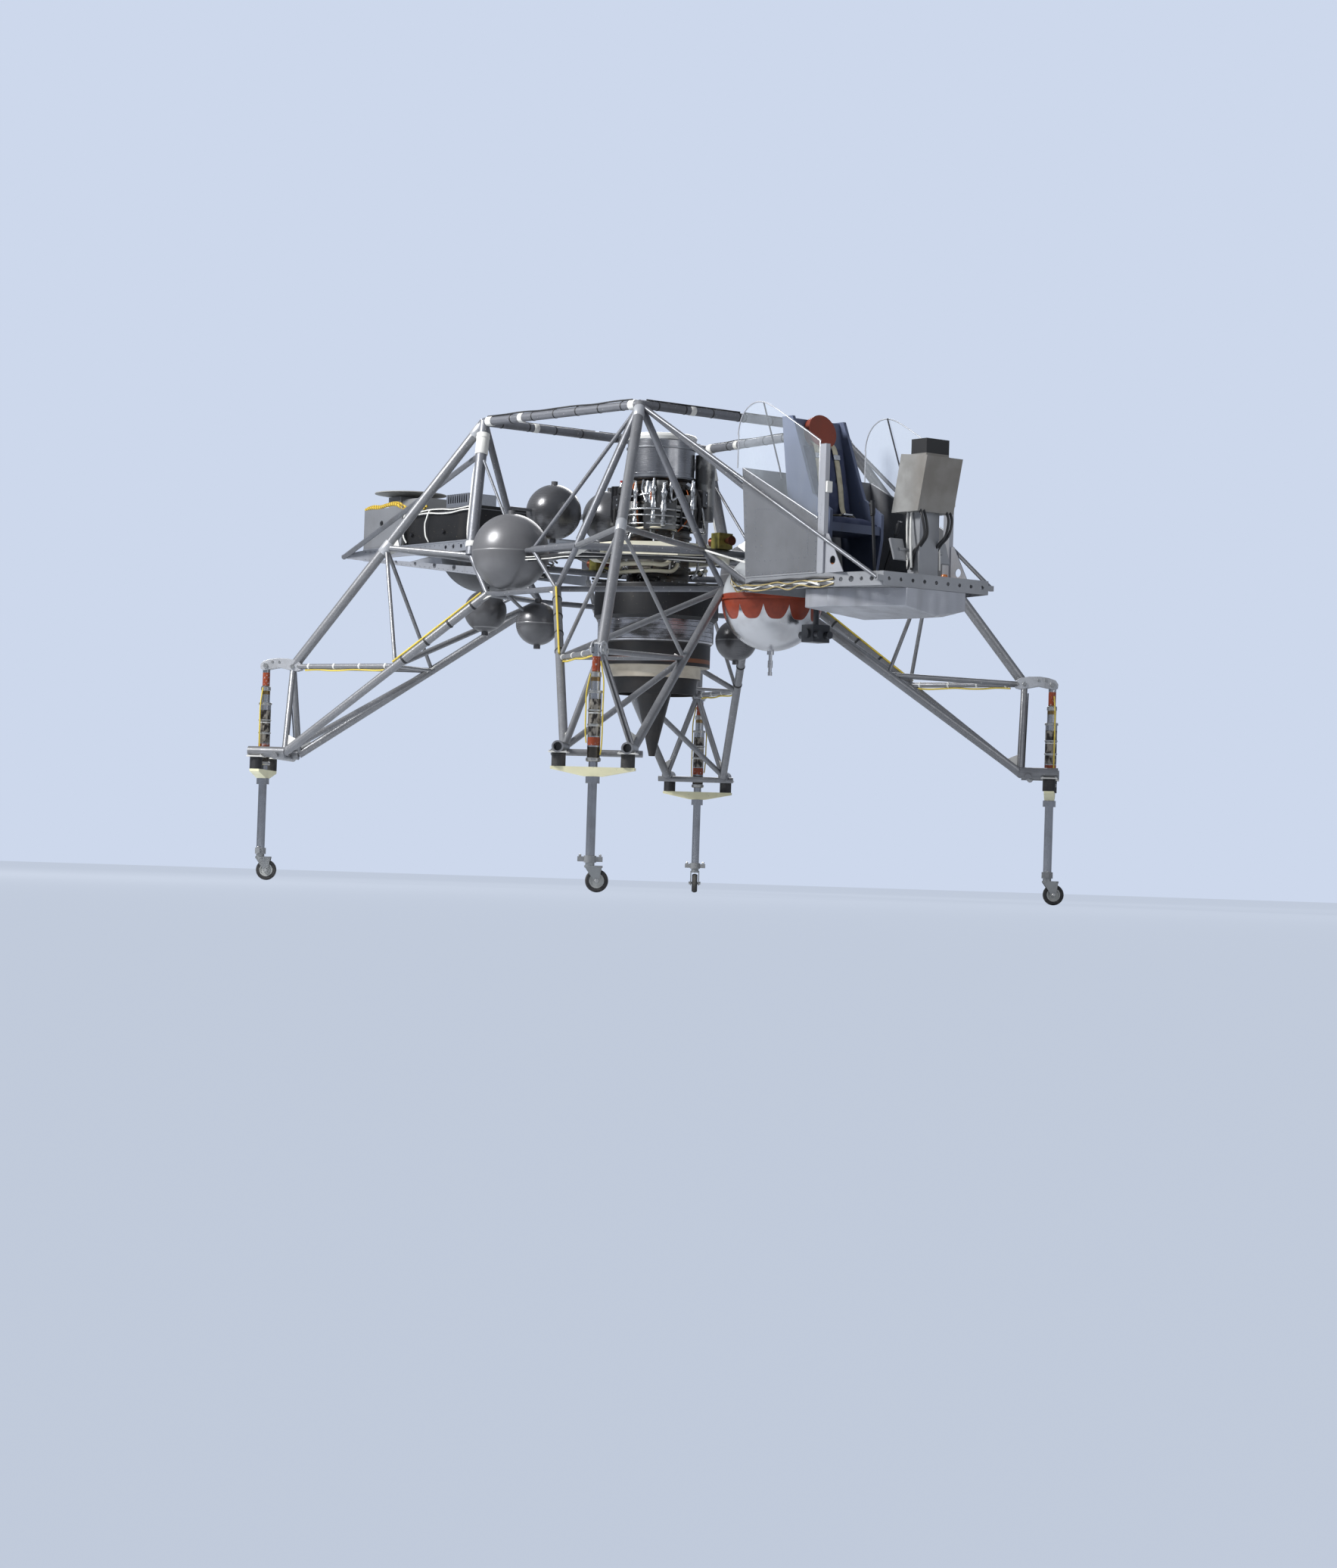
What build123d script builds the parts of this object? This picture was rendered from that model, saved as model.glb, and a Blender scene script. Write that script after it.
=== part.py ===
from build123d import *
import os
from math import atan2, degrees

os.makedirs("parts", exist_ok=True)

# A free-flight lunar landing trainer: a jet engine on end in a gimbal, hung in an open
# tube frame on four castered legs, with an open cockpit in front and an equipment
# platform behind. Millimetres. X points forward, Y to port, Z up. The engine's axis is
# X = Y = 0 while the pieces are made, and the ground is Z = 0.

# Gaps between neighbouring pieces.
weld_gap = 0.3
seat_gap = 0.3
pin_clearance = 0.3

# Legs: the strut axes stand on a square.
leg_half_span = 2030
strut_top_z = 1570
chord_inset = 200
arm_inset = 210
arm_spread = 226
arm_z = 932
arm_diameter = 78
arm_bore = 56
arm_bore_depth = 120
arm_overhang = 60
cross_bar_inset = 150
cross_bar_half = 300
cross_bar_drop = 30
mid_share = 0.45
upper_mid_z = 2450
head_width = 84
head_half_height = 34
head_hump = 92
head_nose = 46

# Tube diameters.
ring_tube = 62
upper_chord_tube = 72
lower_chord_tube = 60
frame_tube = 50
light_tube = 40
brace_tube = 28
column_tube = 80

# Joints of the centre frame, each at X, Y to port and Z; the starboard one mirrors it.
frame_joints = {
    "ring_front": (908, 893, 3370),
    "ring_rear": (-779, 1026, 3370),
    "mid_side_front": (645, 1200, 2380),
    "mid_side_rear": (-645, 1200, 2380),
    "mid_front": (1090, 430, 2380),
    "mid_rear": (-1090, 430, 2380),
    "low_side_front": (420, 1200, 2090),
    "low_side_rear": (-420, 1200, 2090),
    "low_front": (1090, 255, 2130),
    "low_rear": (-1090, 255, 2130),
    "saddle": (120, 1200, 2380),
}

# Shock struts, spreader beams and casters, from the ground up.
wheel_radius = 75
rim_radius = 48
tyre_width = 44
hub_width = 40
axle_radius = 10
caster_trail = 47
tyre_gap = 8
fork_crown = 14
fork_cheek = 8
fork_gap = 6
fork_eye = 18
stem_radius = 12
boss_radius = 30
collar_bottom_z = 190
collar_height = 45
collar_radius = 40
collar_lug_span = 161
collar_lug = 26
piston_radius = 30
nut_radius = 46
nut_height = 44
spreader_bottom_z = 745
spreader_top_z = 806
spreader_span = 550
spreader_tip = 18
spreader_flat = 120
spreader_width = 70
block_radius = 46
cylinder_bottom_z = 840
cylinder_top_z = 1300
cylinder_radius = 42
neck_radius = 32
neck_height = 90
strut_rod_radius = 27

# Gimbal and engine.
pivot_z = 2450
gimbal_flats = 1000
gimbal_wall = 62
gimbal_height = 96
gimbal_pin_radius = 25
bearing_radius = 55
bearing_length = 70
bearing_inner_y = 560
intake_radius = 245
intake_lip_radius = 258
intake_duct_radius = 212
intake_top_z = 3310
intake_bottom_z = 2985
intake_depth = 190
spinner_radius = 70
core_radius = 225
flange_radius = 240
flange_height = 16
cowl_radius = 450
cowl_top_z = 2215
cowl_bottom_z = 1960
tail_radius = 400
tail_bottom_z = 1630
nozzle_radius = 335
nozzle_ring_z = 1540
nozzle_bottom_z = 1430
nozzle_exit_radius = 300
cone_radius = 150
cone_tip_radius = 22
cone_tip_z = 985
cowl_wall = 24
fan_depth = 110
vane_count = 24
vane_wall = 6
vane_height = 60

# Tanks and bottles.
side_tank = (-250, 1130, 2385)
side_tank_radius = 275
front_tank = (1320, 0, 2055)
front_tank_radius = 350
tank_boss_radius = 24
tank_boss_rise = 24
tank_band = 12
bottle_radius = 155
rear_bottle_radius = 205
bottle_spots = [(-900, 880, 2010), (-200, 910, 1890), (-950, 260, 2790)]
bottle_radii = [bottle_radius, bottle_radius, rear_bottle_radius]
bottle_stub_roots = [(-732, 761, 2109), (-200, 1200, 2090), (-961, 677, 2790)]
bottle_stub = 24

# Cockpit.
cockpit_half_width = 575
cockpit_rear_x = 1730
cockpit_post_x = 2505
nose_x = 3020
nose_half_width = 464
floor_z = 2150
beam_height = 93
beam_web = 8
floor_sheet = 10
nose_hole_pitch = 103
nose_hole_count = 9
nose_hole_radius = 13
# Lightening holes of the slanted side beams: share of the way forward, diameter.
side_holes = [(0.16, 34), (0.34, 30), (0.5, 40), (0.66, 26), (0.82, 34)]
panel_wall = 12
panel_rear_z = 2906
panel_front_z = 2514
post_depth = 62
post_width = 36
post_top_z = 3006
window_wall = 8
arch_rear_x = 1600
arch_top = (1840, 3355)

# Aft platform.
platform_half_width = 330
platform_front_x = -1290
platform_rear_x = -3400
platform_z = 2630
tail_tip_x = -3720
platform_beam = 74
rail_holes = 9
rail_hole_pitch = 105
rail_hole_radius = 16
tail_holes = 5
tail_hole_radius = 24
platform_web = 24


def bar(start, end, diameter, extra=0):
    """A round bar between two points, longer by extra at both ends."""
    run = Vector(*end) - Vector(*start)
    origin = Vector(*start) - run.normalized() * extra
    return Solid.make_cylinder(diameter / 2, run.length + 2 * extra, Plane(origin=origin, z_dir=run))


def ball(centre, radius):
    """A sphere about a point."""
    return Solid.make_sphere(radius, Plane(origin=centre), angle1=-90, angle2=90)


def between(start, end, share):
    """The point at a share of the way from start to end."""
    return tuple(a + (b - a) * share for a, b in zip(start, end))


def starboard(point):
    """The starboard copy of a point that is given for the port side."""
    return (point[0], -point[1], point[2])


# What later tubes are cut to sit on: axis, and the solid grown by the weld gap.
obstacles = []
pieces = {}


def stands(line, reach, solid):
    """Keeps a solid's axis, its reach about that axis and its grown copy for later tubes."""
    obstacles.append((line, reach, solid))


def coped_tube(start, end, diameter):
    """A round tube, cut at its ends to sit on everything that was placed before it."""
    line = Edge.make_line(start, end)
    cutters = [
        solid for other, reach, solid in obstacles
        if line.distance_to(other) < diameter / 2 + reach + weld_gap
    ]
    with BuildPart() as tube:
        add(bar(start, end, diameter))
        if cutters:
            add(cutters, mode=Mode.SUBTRACT)
    stands(line, diameter / 2, bar(start, end, diameter + 2 * weld_gap, weld_gap))
    return tube.part.solids().sort_by(SortBy.VOLUME)[-1]


def joint(name):
    """A named joint of the centre frame, to starboard."""
    return starboard(frame_joints[name])




def bosses(centre, radius, grown=0):
    """The upright bar that makes a tank's filler boss at the top and its drain boss below."""
    x, y, z = centre
    rise = radius + tank_boss_rise + grown
    return bar((x, y, z - rise), (x, y, z + rise), 2 * (tank_boss_radius + grown))


def stand_tank(centre, radius):
    """Keeps a tank and its bosses for the tubes that are cut to sit on it."""
    axis = Edge.make_line(centre, (centre[0], centre[1], centre[2] + 1))
    stands(axis, radius, ball(centre, radius + weld_gap))
    stands(axis, radius, bosses(centre, radius, weld_gap))


# Tanks, which the frame's tubes stop short of.
with BuildPart() as side_tanks:
    for y_side in (1, -1):
        spot = (side_tank[0], side_tank[1] * y_side, side_tank[2])
        add(ball(spot, side_tank_radius))
        add(bosses(spot, side_tank_radius))
pieces["side_tanks"] = side_tanks
stand_tank(starboard(side_tank), side_tank_radius)

# The front tank has a welded band at its middle and a long drain below.
drain_top_z = front_tank[2] - front_tank_radius - tank_boss_rise
with BuildPart() as front_tank_shell:
    add(ball(front_tank, front_tank_radius))
    add(bosses(front_tank, front_tank_radius))
    with Locations(front_tank):
        Cylinder(front_tank_radius + tank_band, tank_band)
    for radius, top_z, bottom_z in ((12, drain_top_z, 1560), (17, 1640, 1590), (15, 1560, 1535)):
        add(bar((front_tank[0], 0, top_z), (front_tank[0], 0, bottom_z), 2 * radius))
pieces["front_tank"] = front_tank_shell
stand_tank(front_tank, front_tank_radius)
band_axis = Edge.make_line(front_tank, (front_tank[0], 0, front_tank[2] + 1))
band_reach = front_tank_radius + tank_band + weld_gap
band_low = (front_tank[0], 0, front_tank[2] - tank_band / 2 - weld_gap)
band_high = (front_tank[0], 0, front_tank[2] + tank_band / 2 + weld_gap)
stands(band_axis, band_reach, bar(band_low, band_high, 2 * band_reach))

# Cockpit floor: a sheet on a tray of flanged beams with lightening holes, open below.
floor_outline = [
    (cockpit_rear_x, -cockpit_half_width),
    (cockpit_post_x, -cockpit_half_width),
    (nose_x, -nose_half_width),
    (nose_x, nose_half_width),
    (cockpit_post_x, cockpit_half_width),
    (cockpit_rear_x, cockpit_half_width),
]
beam_mid_z = floor_z - beam_height / 2
nose_lug = (nose_x - 14, -(nose_half_width + 42), beam_mid_z)
with BuildPart() as cockpit_floor:
    with BuildSketch(Plane.XY.offset(floor_z - beam_height)):
        with BuildLine():
            Polyline(*floor_outline, close=True)
        make_face()
    extrude(amount=beam_height)
    with BuildSketch(Plane.XY.offset(floor_z - beam_height)):
        with BuildLine():
            Polyline(*floor_outline, close=True)
        make_face()
        offset(amount=-beam_web, kind=Kind.INTERSECTION)
    extrude(amount=beam_height - floor_sheet, mode=Mode.SUBTRACT)
    with Locations((nose_x - beam_web / 2, 0, beam_mid_z)):
        with GridLocations(0, nose_hole_pitch, 1, nose_hole_count):
            Cylinder(nose_hole_radius, 3 * beam_web, rotation=(0, 90, 0), mode=Mode.SUBTRACT)
    for y_side in (1, -1):
        with Locations((nose_x - 14, (nose_half_width + 25) * y_side, beam_mid_z)):
            Box(28, 50, 36)
        for share, hole in side_holes:
            x = cockpit_post_x + (nose_x - cockpit_post_x) * share
            y = cockpit_half_width + (nose_half_width - cockpit_half_width) * share
            outside = (x, (y + 2 * beam_web) * y_side, beam_mid_z)
            inside = (x, (y - 3 * beam_web) * y_side, beam_mid_z)
            add(bar(outside, inside, hole), mode=Mode.SUBTRACT)
pieces["cockpit_floor"] = cockpit_floor

# Rear bulkhead, leaning back.
bulkhead_lean = 70
with BuildPart() as cockpit_bulkhead:
    with BuildSketch(Plane.XZ.offset(-(cockpit_half_width - panel_wall - seat_gap))):
        with BuildLine():
            Polyline(
                (cockpit_rear_x, floor_z + seat_gap),
                (cockpit_rear_x + panel_wall, floor_z + seat_gap),
                (cockpit_rear_x + panel_wall - bulkhead_lean, panel_rear_z),
                (cockpit_rear_x - bulkhead_lean, panel_rear_z),
                close=True,
            )
        make_face()
    extrude(amount=2 * (cockpit_half_width - panel_wall - seat_gap))
pieces["cockpit_bulkhead"] = cockpit_bulkhead
cockpit_axis = Edge.make_line((cockpit_rear_x, -cockpit_half_width, floor_z), (cockpit_rear_x, -cockpit_half_width, panel_rear_z))
stands(cockpit_axis, cockpit_half_width, cockpit_bulkhead.part.solid())
floor_axis = Edge.make_line((cockpit_rear_x, -cockpit_half_width, floor_z), (nose_x, -nose_half_width, floor_z))
stands(floor_axis, beam_height, cockpit_floor.part.solid())

# Aft platform: a tapering side beam to each side, running out to a point behind.
beam_depth = 330
with BuildPart() as platform_beams:
    for y_side in (1, -1):
        beam_face = platform_half_width * y_side + platform_web / 2
        with BuildSketch(Plane.XZ.offset(-beam_face)):
            with BuildLine():
                Polyline(
                    (platform_front_x, platform_z),
                    (platform_rear_x, platform_z),
                    (tail_tip_x, platform_z - 20),
                    (tail_tip_x, platform_z - 45),
                    (platform_front_x, platform_z - beam_depth),
                    close=True,
                )
            make_face()
            with BuildLine():
                Polyline(
                    (platform_front_x - platform_beam, platform_z - platform_beam),
                    (platform_rear_x + 140, platform_z - platform_beam),
                    (platform_front_x - platform_beam, platform_z - beam_depth + platform_beam + 6),
                    close=True,
                )
            make_face(mode=Mode.SUBTRACT)
            for count in range(rail_holes):
                with Locations((platform_front_x - 110 - count * rail_hole_pitch, platform_z - platform_beam / 2)):
                    Circle(rail_hole_radius, mode=Mode.SUBTRACT)
            for count in range(tail_holes):
                share = 0.34 + 0.11 * count
                low_line = between((platform_front_x, platform_z - beam_depth), (tail_tip_x, platform_z - 45), share)
                with Locations((low_line[0], low_line[1] + platform_beam / 2)):
                    Circle(tail_hole_radius, mode=Mode.SUBTRACT)
        extrude(amount=platform_web)
pieces["platform_beams"] = platform_beams
beam_axis = Edge.make_line(
    (platform_front_x, -platform_half_width, platform_z), (tail_tip_x, -platform_half_width, platform_z)
)
stands(beam_axis, beam_depth, platform_beams.part.solids().sort_by(Axis.Y)[0])

# Gas bottles, each on a stub from the frame.
with BuildPart() as gas_bottles:
    for spot, radius in zip(bottle_spots, bottle_radii):
        for placed in (spot, starboard(spot)):
            add(ball(placed, radius))
            add(bosses(placed, radius))
pieces["gas_bottles"] = gas_bottles
for spot, radius in zip(bottle_spots, bottle_radii):
    stand_tank(starboard(spot), radius)

# Gimbal bearings: a bored block on each side of the frame.
bearing_outer_y = bearing_inner_y + bearing_length
with BuildPart() as gimbal_bearings:
    for y_side in (1, -1):
        inner = (0, bearing_inner_y * y_side, pivot_z)
        outer = (0, bearing_outer_y * y_side, pivot_z)
        add(bar(inner, outer, 2 * bearing_radius))
        add(bar(inner, outer, 2 * (gimbal_pin_radius + pin_clearance)), mode=Mode.SUBTRACT)
pieces["gimbal_bearings"] = gimbal_bearings
bearing_ends = ((0, -bearing_inner_y, pivot_z), (0, -bearing_outer_y, pivot_z))
stands(
    Edge.make_line(*bearing_ends), bearing_radius,
    bar(*bearing_ends, 2 * (bearing_radius + weld_gap), weld_gap),
)


def half_cross_tube(name, diameter):
    """The starboard half of a tube that crosses the frame at a named joint."""
    x, y, z = joint(name)
    return coped_tube((x, y, z), (x, 0, z), diameter)


# Top ring: the front and rear tubes run through, the side tubes stop on them.
ring_solids = [half_cross_tube(name, ring_tube) for name in ("ring_front", "ring_rear")]
ring_solids.append(coped_tube(joint("ring_front"), joint("ring_rear"), ring_tube))
with BuildPart() as top_ring:
    add(ring_solids)
    add([solid.mirror(Plane.XZ) for solid in ring_solids])
pieces["top_ring"] = top_ring


class Leg:
    """One starboard leg: x_side is 1 in front and -1 behind."""

    def __init__(self, x_side, y_side):
        self.end = "front" if x_side > 0 else "rear"
        self.side = "port" if y_side > 0 else "starboard"
        self.strut = (x_side * leg_half_span, y_side * leg_half_span)
        self.out = Vector(x_side, y_side, 0).normalized()
        self.along = Vector(-x_side, y_side, 0).normalized()
        self.yaw = degrees(atan2(y_side, x_side))
        self.place = Location((*self.strut, 0), (0, 0, self.yaw))

    def at(self, outward, sideways, z):
        """A point by its distance outward from the strut, sideways to it and its height."""
        spot = Vector(*self.strut, z) + self.out * outward + self.along * sideways
        return (spot.X, spot.Y, spot.Z)

    def joint(self, name):
        """A named joint of the centre frame at this leg's end."""
        return joint(f"{name}_{self.end}")


legs = [Leg(x_side, y_side) for x_side in (1, -1) for y_side in (1, -1)]
starboard_legs = [leg for leg in legs if leg.side == "starboard"]
leg_solids = {leg.end: [] for leg in starboard_legs}
arm_solids = []

# The long members of the legs come first, then the centre frame, then the legs' braces.
for leg in starboard_legs:
    chord_end = leg.at(-chord_inset, 0, strut_top_z)
    leg_solids[leg.end].append(coped_tube(leg.joint("ring"), chord_end, upper_chord_tube))
    for sideways, low_name in ((arm_spread, "low_side"), (-arm_spread, "low")):
        inner = leg.at(-arm_inset, sideways, arm_z)
        outer = leg.at(arm_overhang, sideways, arm_z)
        arm_solids.append(coped_tube(inner, outer, arm_diameter))
        leg_solids[leg.end].append(coped_tube(leg.joint(low_name), inner, lower_chord_tube))

centre_rows = [
    # from joint, to joint, diameter
    ("mid_front", "mid_side_front", frame_tube),
    ("mid_rear", "mid_side_rear", frame_tube),
    ("mid_side_front", "saddle", frame_tube),
    ("low_front", "low_side_front", light_tube),
    ("low_rear", "low_side_rear", light_tube),
    ("low_side_front", "low_side_rear", light_tube),
]
post_rows = [
    # from joint, to joint, diameter
    ("ring_rear", "mid_side_rear", column_tube),
    ("ring_front", "mid_side_front", frame_tube),
    ("ring_front", "mid_front", frame_tube),
    ("ring_rear", "mid_rear", frame_tube),
    ("ring_front", "saddle", brace_tube),
    ("mid_side_front", "low_side_front", light_tube),
    ("mid_side_rear", "low_side_rear", light_tube),
    ("mid_front", "low_front", light_tube),
    ("mid_rear", "low_rear", light_tube),
    ("saddle", "low_side_front", brace_tube),
]
cross_rows = [("mid_front", frame_tube), ("mid_rear", frame_tube), ("low_rear", light_tube)]
centre_solids = [half_cross_tube(name, size) for name, size in cross_rows]
centre_solids += [coped_tube(joint(a), joint(b), size) for a, b, size in centre_rows]
post_solids = [coped_tube(joint(a), joint(b), size) for a, b, size in post_rows]

for leg in starboard_legs:
    chord_end = leg.at(-chord_inset, 0, strut_top_z)
    chord_share = (frame_joints["ring_front"][2] - upper_mid_z) / (frame_joints["ring_front"][2] - strut_top_z)
    upper_mid = between(leg.joint("ring"), chord_end, chord_share)
    inner_side = leg.at(-arm_inset, arm_spread, arm_z)
    inner_end = leg.at(-arm_inset, -arm_spread, arm_z)
    mid_side = between(leg.joint("low_side"), inner_side, mid_share)
    mid_end = between(leg.joint("low"), inner_end, mid_share)
    bar_z = arm_z - cross_bar_drop
    brace_rows = [
        # from, to, diameter
        (leg.at(-cross_bar_inset, -cross_bar_half, bar_z), leg.at(-cross_bar_inset, cross_bar_half, bar_z), 45),
        (chord_end, inner_side, 45),
        (chord_end, inner_end, 45),
        (chord_end, mid_side, 38),
        (chord_end, mid_end, 38),
        (inner_side, mid_end, 42),
        (upper_mid, leg.joint("mid_side"), 41),
        (upper_mid, leg.joint("mid"), 41),
        (mid_side, leg.joint("low"), 42),
        (mid_side, mid_end, 25),
        (upper_mid, mid_side, brace_tube),
        (upper_mid, mid_end, brace_tube),
    ]
    leg_solids[leg.end] += [coped_tube(start, end, size) for start, end, size in brace_rows]

for leg in starboard_legs:
    with BuildPart() as truss:
        add(leg_solids[leg.end])
    pieces[f"leg_truss_{leg.end}_starboard"] = truss
    with BuildPart() as port_truss:
        add(truss.part.mirror(Plane.XZ))
    pieces[f"leg_truss_{leg.end}_port"] = port_truss

# Arm tubes at the foot of each leg, open at their outer ends.
with BuildPart() as leg_arms:
    add(arm_solids)
    for leg in starboard_legs:
        for sideways in (arm_spread, -arm_spread):
            mouth = leg.at(arm_overhang, sideways, arm_z)
            add(bar(leg.at(arm_overhang - arm_bore_depth, sideways, arm_z), mouth, arm_bore), mode=Mode.SUBTRACT)
    add([solid.mirror(Plane.XZ) for solid in leg_arms.part.solids()])
pieces["leg_arms"] = leg_arms

# Struts that carry the tanks, the gimbal bearings, the cockpit and the aft platform.
column_share = 0.24
column_top = between(joint("ring_rear"), joint("mid_side_rear"), column_share)
tank_centre = starboard(side_tank)
bearing_spot = (0, -(bearing_inner_y + bearing_outer_y) / 2, pivot_z)
beam_root_top = (platform_front_x, -platform_half_width, platform_z - platform_beam / 2)
beam_root_low = (platform_front_x, -platform_half_width, platform_z - beam_depth + platform_beam / 2)
tail_tip = (tail_tip_x + 20, -platform_half_width, platform_z - platform_beam / 2)
rows_to_carry = [
    # from, to, diameter
    (joint("saddle"), tank_centre, 36),
    (joint("mid_side_rear"), tank_centre, 36),
    (column_top, (tank_centre[0], tank_centre[1], tank_centre[2] + side_tank_radius / 2), 20),
    (joint("saddle"), bearing_spot, light_tube),
    (joint("mid_front"), bearing_spot, light_tube),
    (joint("mid_rear"), bearing_spot, light_tube),
]
for root, spot in zip(bottle_stub_roots, bottle_spots):
    rows_to_carry.append((starboard(root), starboard(spot), bottle_stub))
carrier_solids = [coped_tube(start, end, size) for start, end, size in rows_to_carry]
cockpit_corner = (cockpit_rear_x + beam_web, -(cockpit_half_width - 40), beam_mid_z)
bulkhead_corner = (cockpit_rear_x - bulkhead_lean + panel_wall, -(cockpit_half_width - 60), panel_rear_z - 156)
platform_rows = [
    # from, to, diameter
    (joint("mid_rear"), beam_root_top, light_tube),
    (joint("low_rear"), beam_root_low, light_tube),
    (tail_tip, column_top, light_tube),
]
cockpit_rows = [
    # from, to, diameter
    (joint("mid_front"), cockpit_corner, light_tube),
    (joint("ring_front"), bulkhead_corner, light_tube),
    (joint("ring_front"), nose_lug, brace_tube),
]
platform_strut_solids = [coped_tube(start, end, size) for start, end, size in platform_rows]
cockpit_strut_solids = [coped_tube(start, end, size) for start, end, size in cockpit_rows]

with BuildPart() as centre_frame:
    add(centre_solids)
    add([solid.mirror(Plane.XZ) for solid in centre_solids])
pieces["centre_frame"] = centre_frame

with BuildPart() as centre_posts:
    add(post_solids)
    add([solid.mirror(Plane.XZ) for solid in post_solids])
pieces["centre_posts"] = centre_posts

with BuildPart() as carrier_struts:
    add(carrier_solids)
    add([solid.mirror(Plane.XZ) for solid in carrier_solids])
pieces["carrier_struts"] = carrier_struts

with BuildPart() as platform_struts:
    add(platform_strut_solids)
    add([solid.mirror(Plane.XZ) for solid in platform_strut_solids])
pieces["platform_struts"] = platform_struts

with BuildPart() as cockpit_struts:
    add(cockpit_strut_solids)
    add([solid.mirror(Plane.XZ) for solid in cockpit_strut_solids])
pieces["cockpit_struts"] = cockpit_struts

# Leg heads: a forged bracket from the end of the upper chord to the top of the strut.
head_length = chord_inset + 90
with BuildPart() as head_blank:
    with BuildSketch(Plane.XZ.offset(-head_width / 2)):
        with BuildLine():
            Polyline(
                (-head_length, strut_top_z + head_half_height),
                (-head_length, strut_top_z - head_half_height),
                (head_nose, strut_top_z - head_half_height),
                (head_nose, strut_top_z + head_half_height),
            )
            ThreePointArc(
                (head_nose, strut_top_z + head_half_height),
                (-chord_inset / 2, strut_top_z + head_hump),
                (-head_length, strut_top_z + head_half_height),
            )
        make_face()
    extrude(amount=head_width)
    add(bar((0, 0, strut_top_z - 100), (0, 0, strut_top_z + 30), 2 * (strut_rod_radius + weld_gap)),
        mode=Mode.SUBTRACT)
head_solids = []
for leg in starboard_legs:
    chord_end = Vertex(*leg.at(-chord_inset, 0, strut_top_z))
    near = [solid for line, reach, solid in obstacles if line.distance_to(chord_end) < head_length]
    with BuildPart() as head_cut:
        add(head_blank.part.moved(leg.place))
        add(near, mode=Mode.SUBTRACT)
    head_solids.append(head_cut.part.solids().sort_by(SortBy.VOLUME)[-1])
with BuildPart() as leg_heads:
    add(head_solids)
    add([solid.mirror(Plane.XZ) for solid in head_solids])
pieces["leg_heads"] = leg_heads

# Shock struts: collar with the caster's bearing, chromed piston, nut, cylinder and rod.
collar_top_z = collar_bottom_z + collar_height
nut_top_z = spreader_bottom_z - seat_gap
strut_steps = [
    # radius, from height
    (collar_radius, collar_bottom_z),
    (piston_radius, collar_top_z),
    (nut_radius, nut_top_z - nut_height),
    (piston_radius, nut_top_z),
    (cylinder_radius, cylinder_bottom_z),
    (neck_radius, cylinder_top_z),
    (strut_rod_radius, cylinder_top_z + neck_height),
]
strut_end_z = strut_top_z + 30 - seat_gap
step_ends = [height for radius, height in strut_steps[1:]] + [strut_end_z]
strut_outline = [(0, collar_bottom_z)]
for (radius, height), end_height in zip(strut_steps, step_ends):
    strut_outline += [(radius, height), (radius, end_height)]
strut_outline.append((0, strut_end_z))
with BuildPart() as strut_unit:
    with BuildSketch(Plane.XZ):
        with BuildLine():
            Polyline(*strut_outline, close=True)
        make_face()
    revolve(axis=Axis.Z)
    with Locations((0, 0, collar_bottom_z + collar_height / 2)):
        Box(collar_lug, collar_lug_span, collar_height - 12)
    with Locations((0, 0, collar_bottom_z)):
        Cylinder(stem_radius + pin_clearance, collar_height - 5,
                 align=(Align.CENTER, Align.CENTER, Align.MIN), mode=Mode.SUBTRACT)
with BuildPart() as shock_struts:
    add([strut_unit.part.moved(leg.place) for leg in legs])
pieces["shock_struts"] = shock_struts

# Spreader beams on the struts' nuts, and the rubber blocks between them and the arms.
with BuildPart() as spreader_unit:
    with BuildSketch(Plane.YZ.offset(-spreader_width / 2)):
        with BuildLine():
            Polyline(
                (-spreader_span / 2, spreader_top_z),
                (-spreader_span / 2, spreader_top_z - spreader_tip),
                (-spreader_flat / 2, spreader_bottom_z),
                (spreader_flat / 2, spreader_bottom_z),
                (spreader_span / 2, spreader_top_z - spreader_tip),
                (spreader_span / 2, spreader_top_z),
                close=True,
            )
        make_face()
    extrude(amount=spreader_width)
    with Locations((0, 0, spreader_bottom_z)):
        Cylinder(piston_radius + seat_gap, spreader_top_z - spreader_bottom_z,
                 align=(Align.CENTER, Align.CENTER, Align.MIN), mode=Mode.SUBTRACT)
with BuildPart() as spreader_beams:
    add([spreader_unit.part.moved(leg.place) for leg in legs])
pieces["spreader_beams"] = spreader_beams

block_top_z = arm_z - arm_diameter / 2 - seat_gap
with BuildPart() as block_unit:
    with BuildSketch(Plane.XY.offset(spreader_top_z + seat_gap)):
        with Locations((0, arm_spread), (0, -arm_spread)):
            Circle(block_radius)
    extrude(amount=block_top_z - spreader_top_z - seat_gap)
with BuildPart() as rubber_blocks:
    add([block_unit.part.moved(leg.place) for leg in legs])
pieces["rubber_blocks"] = rubber_blocks

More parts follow.
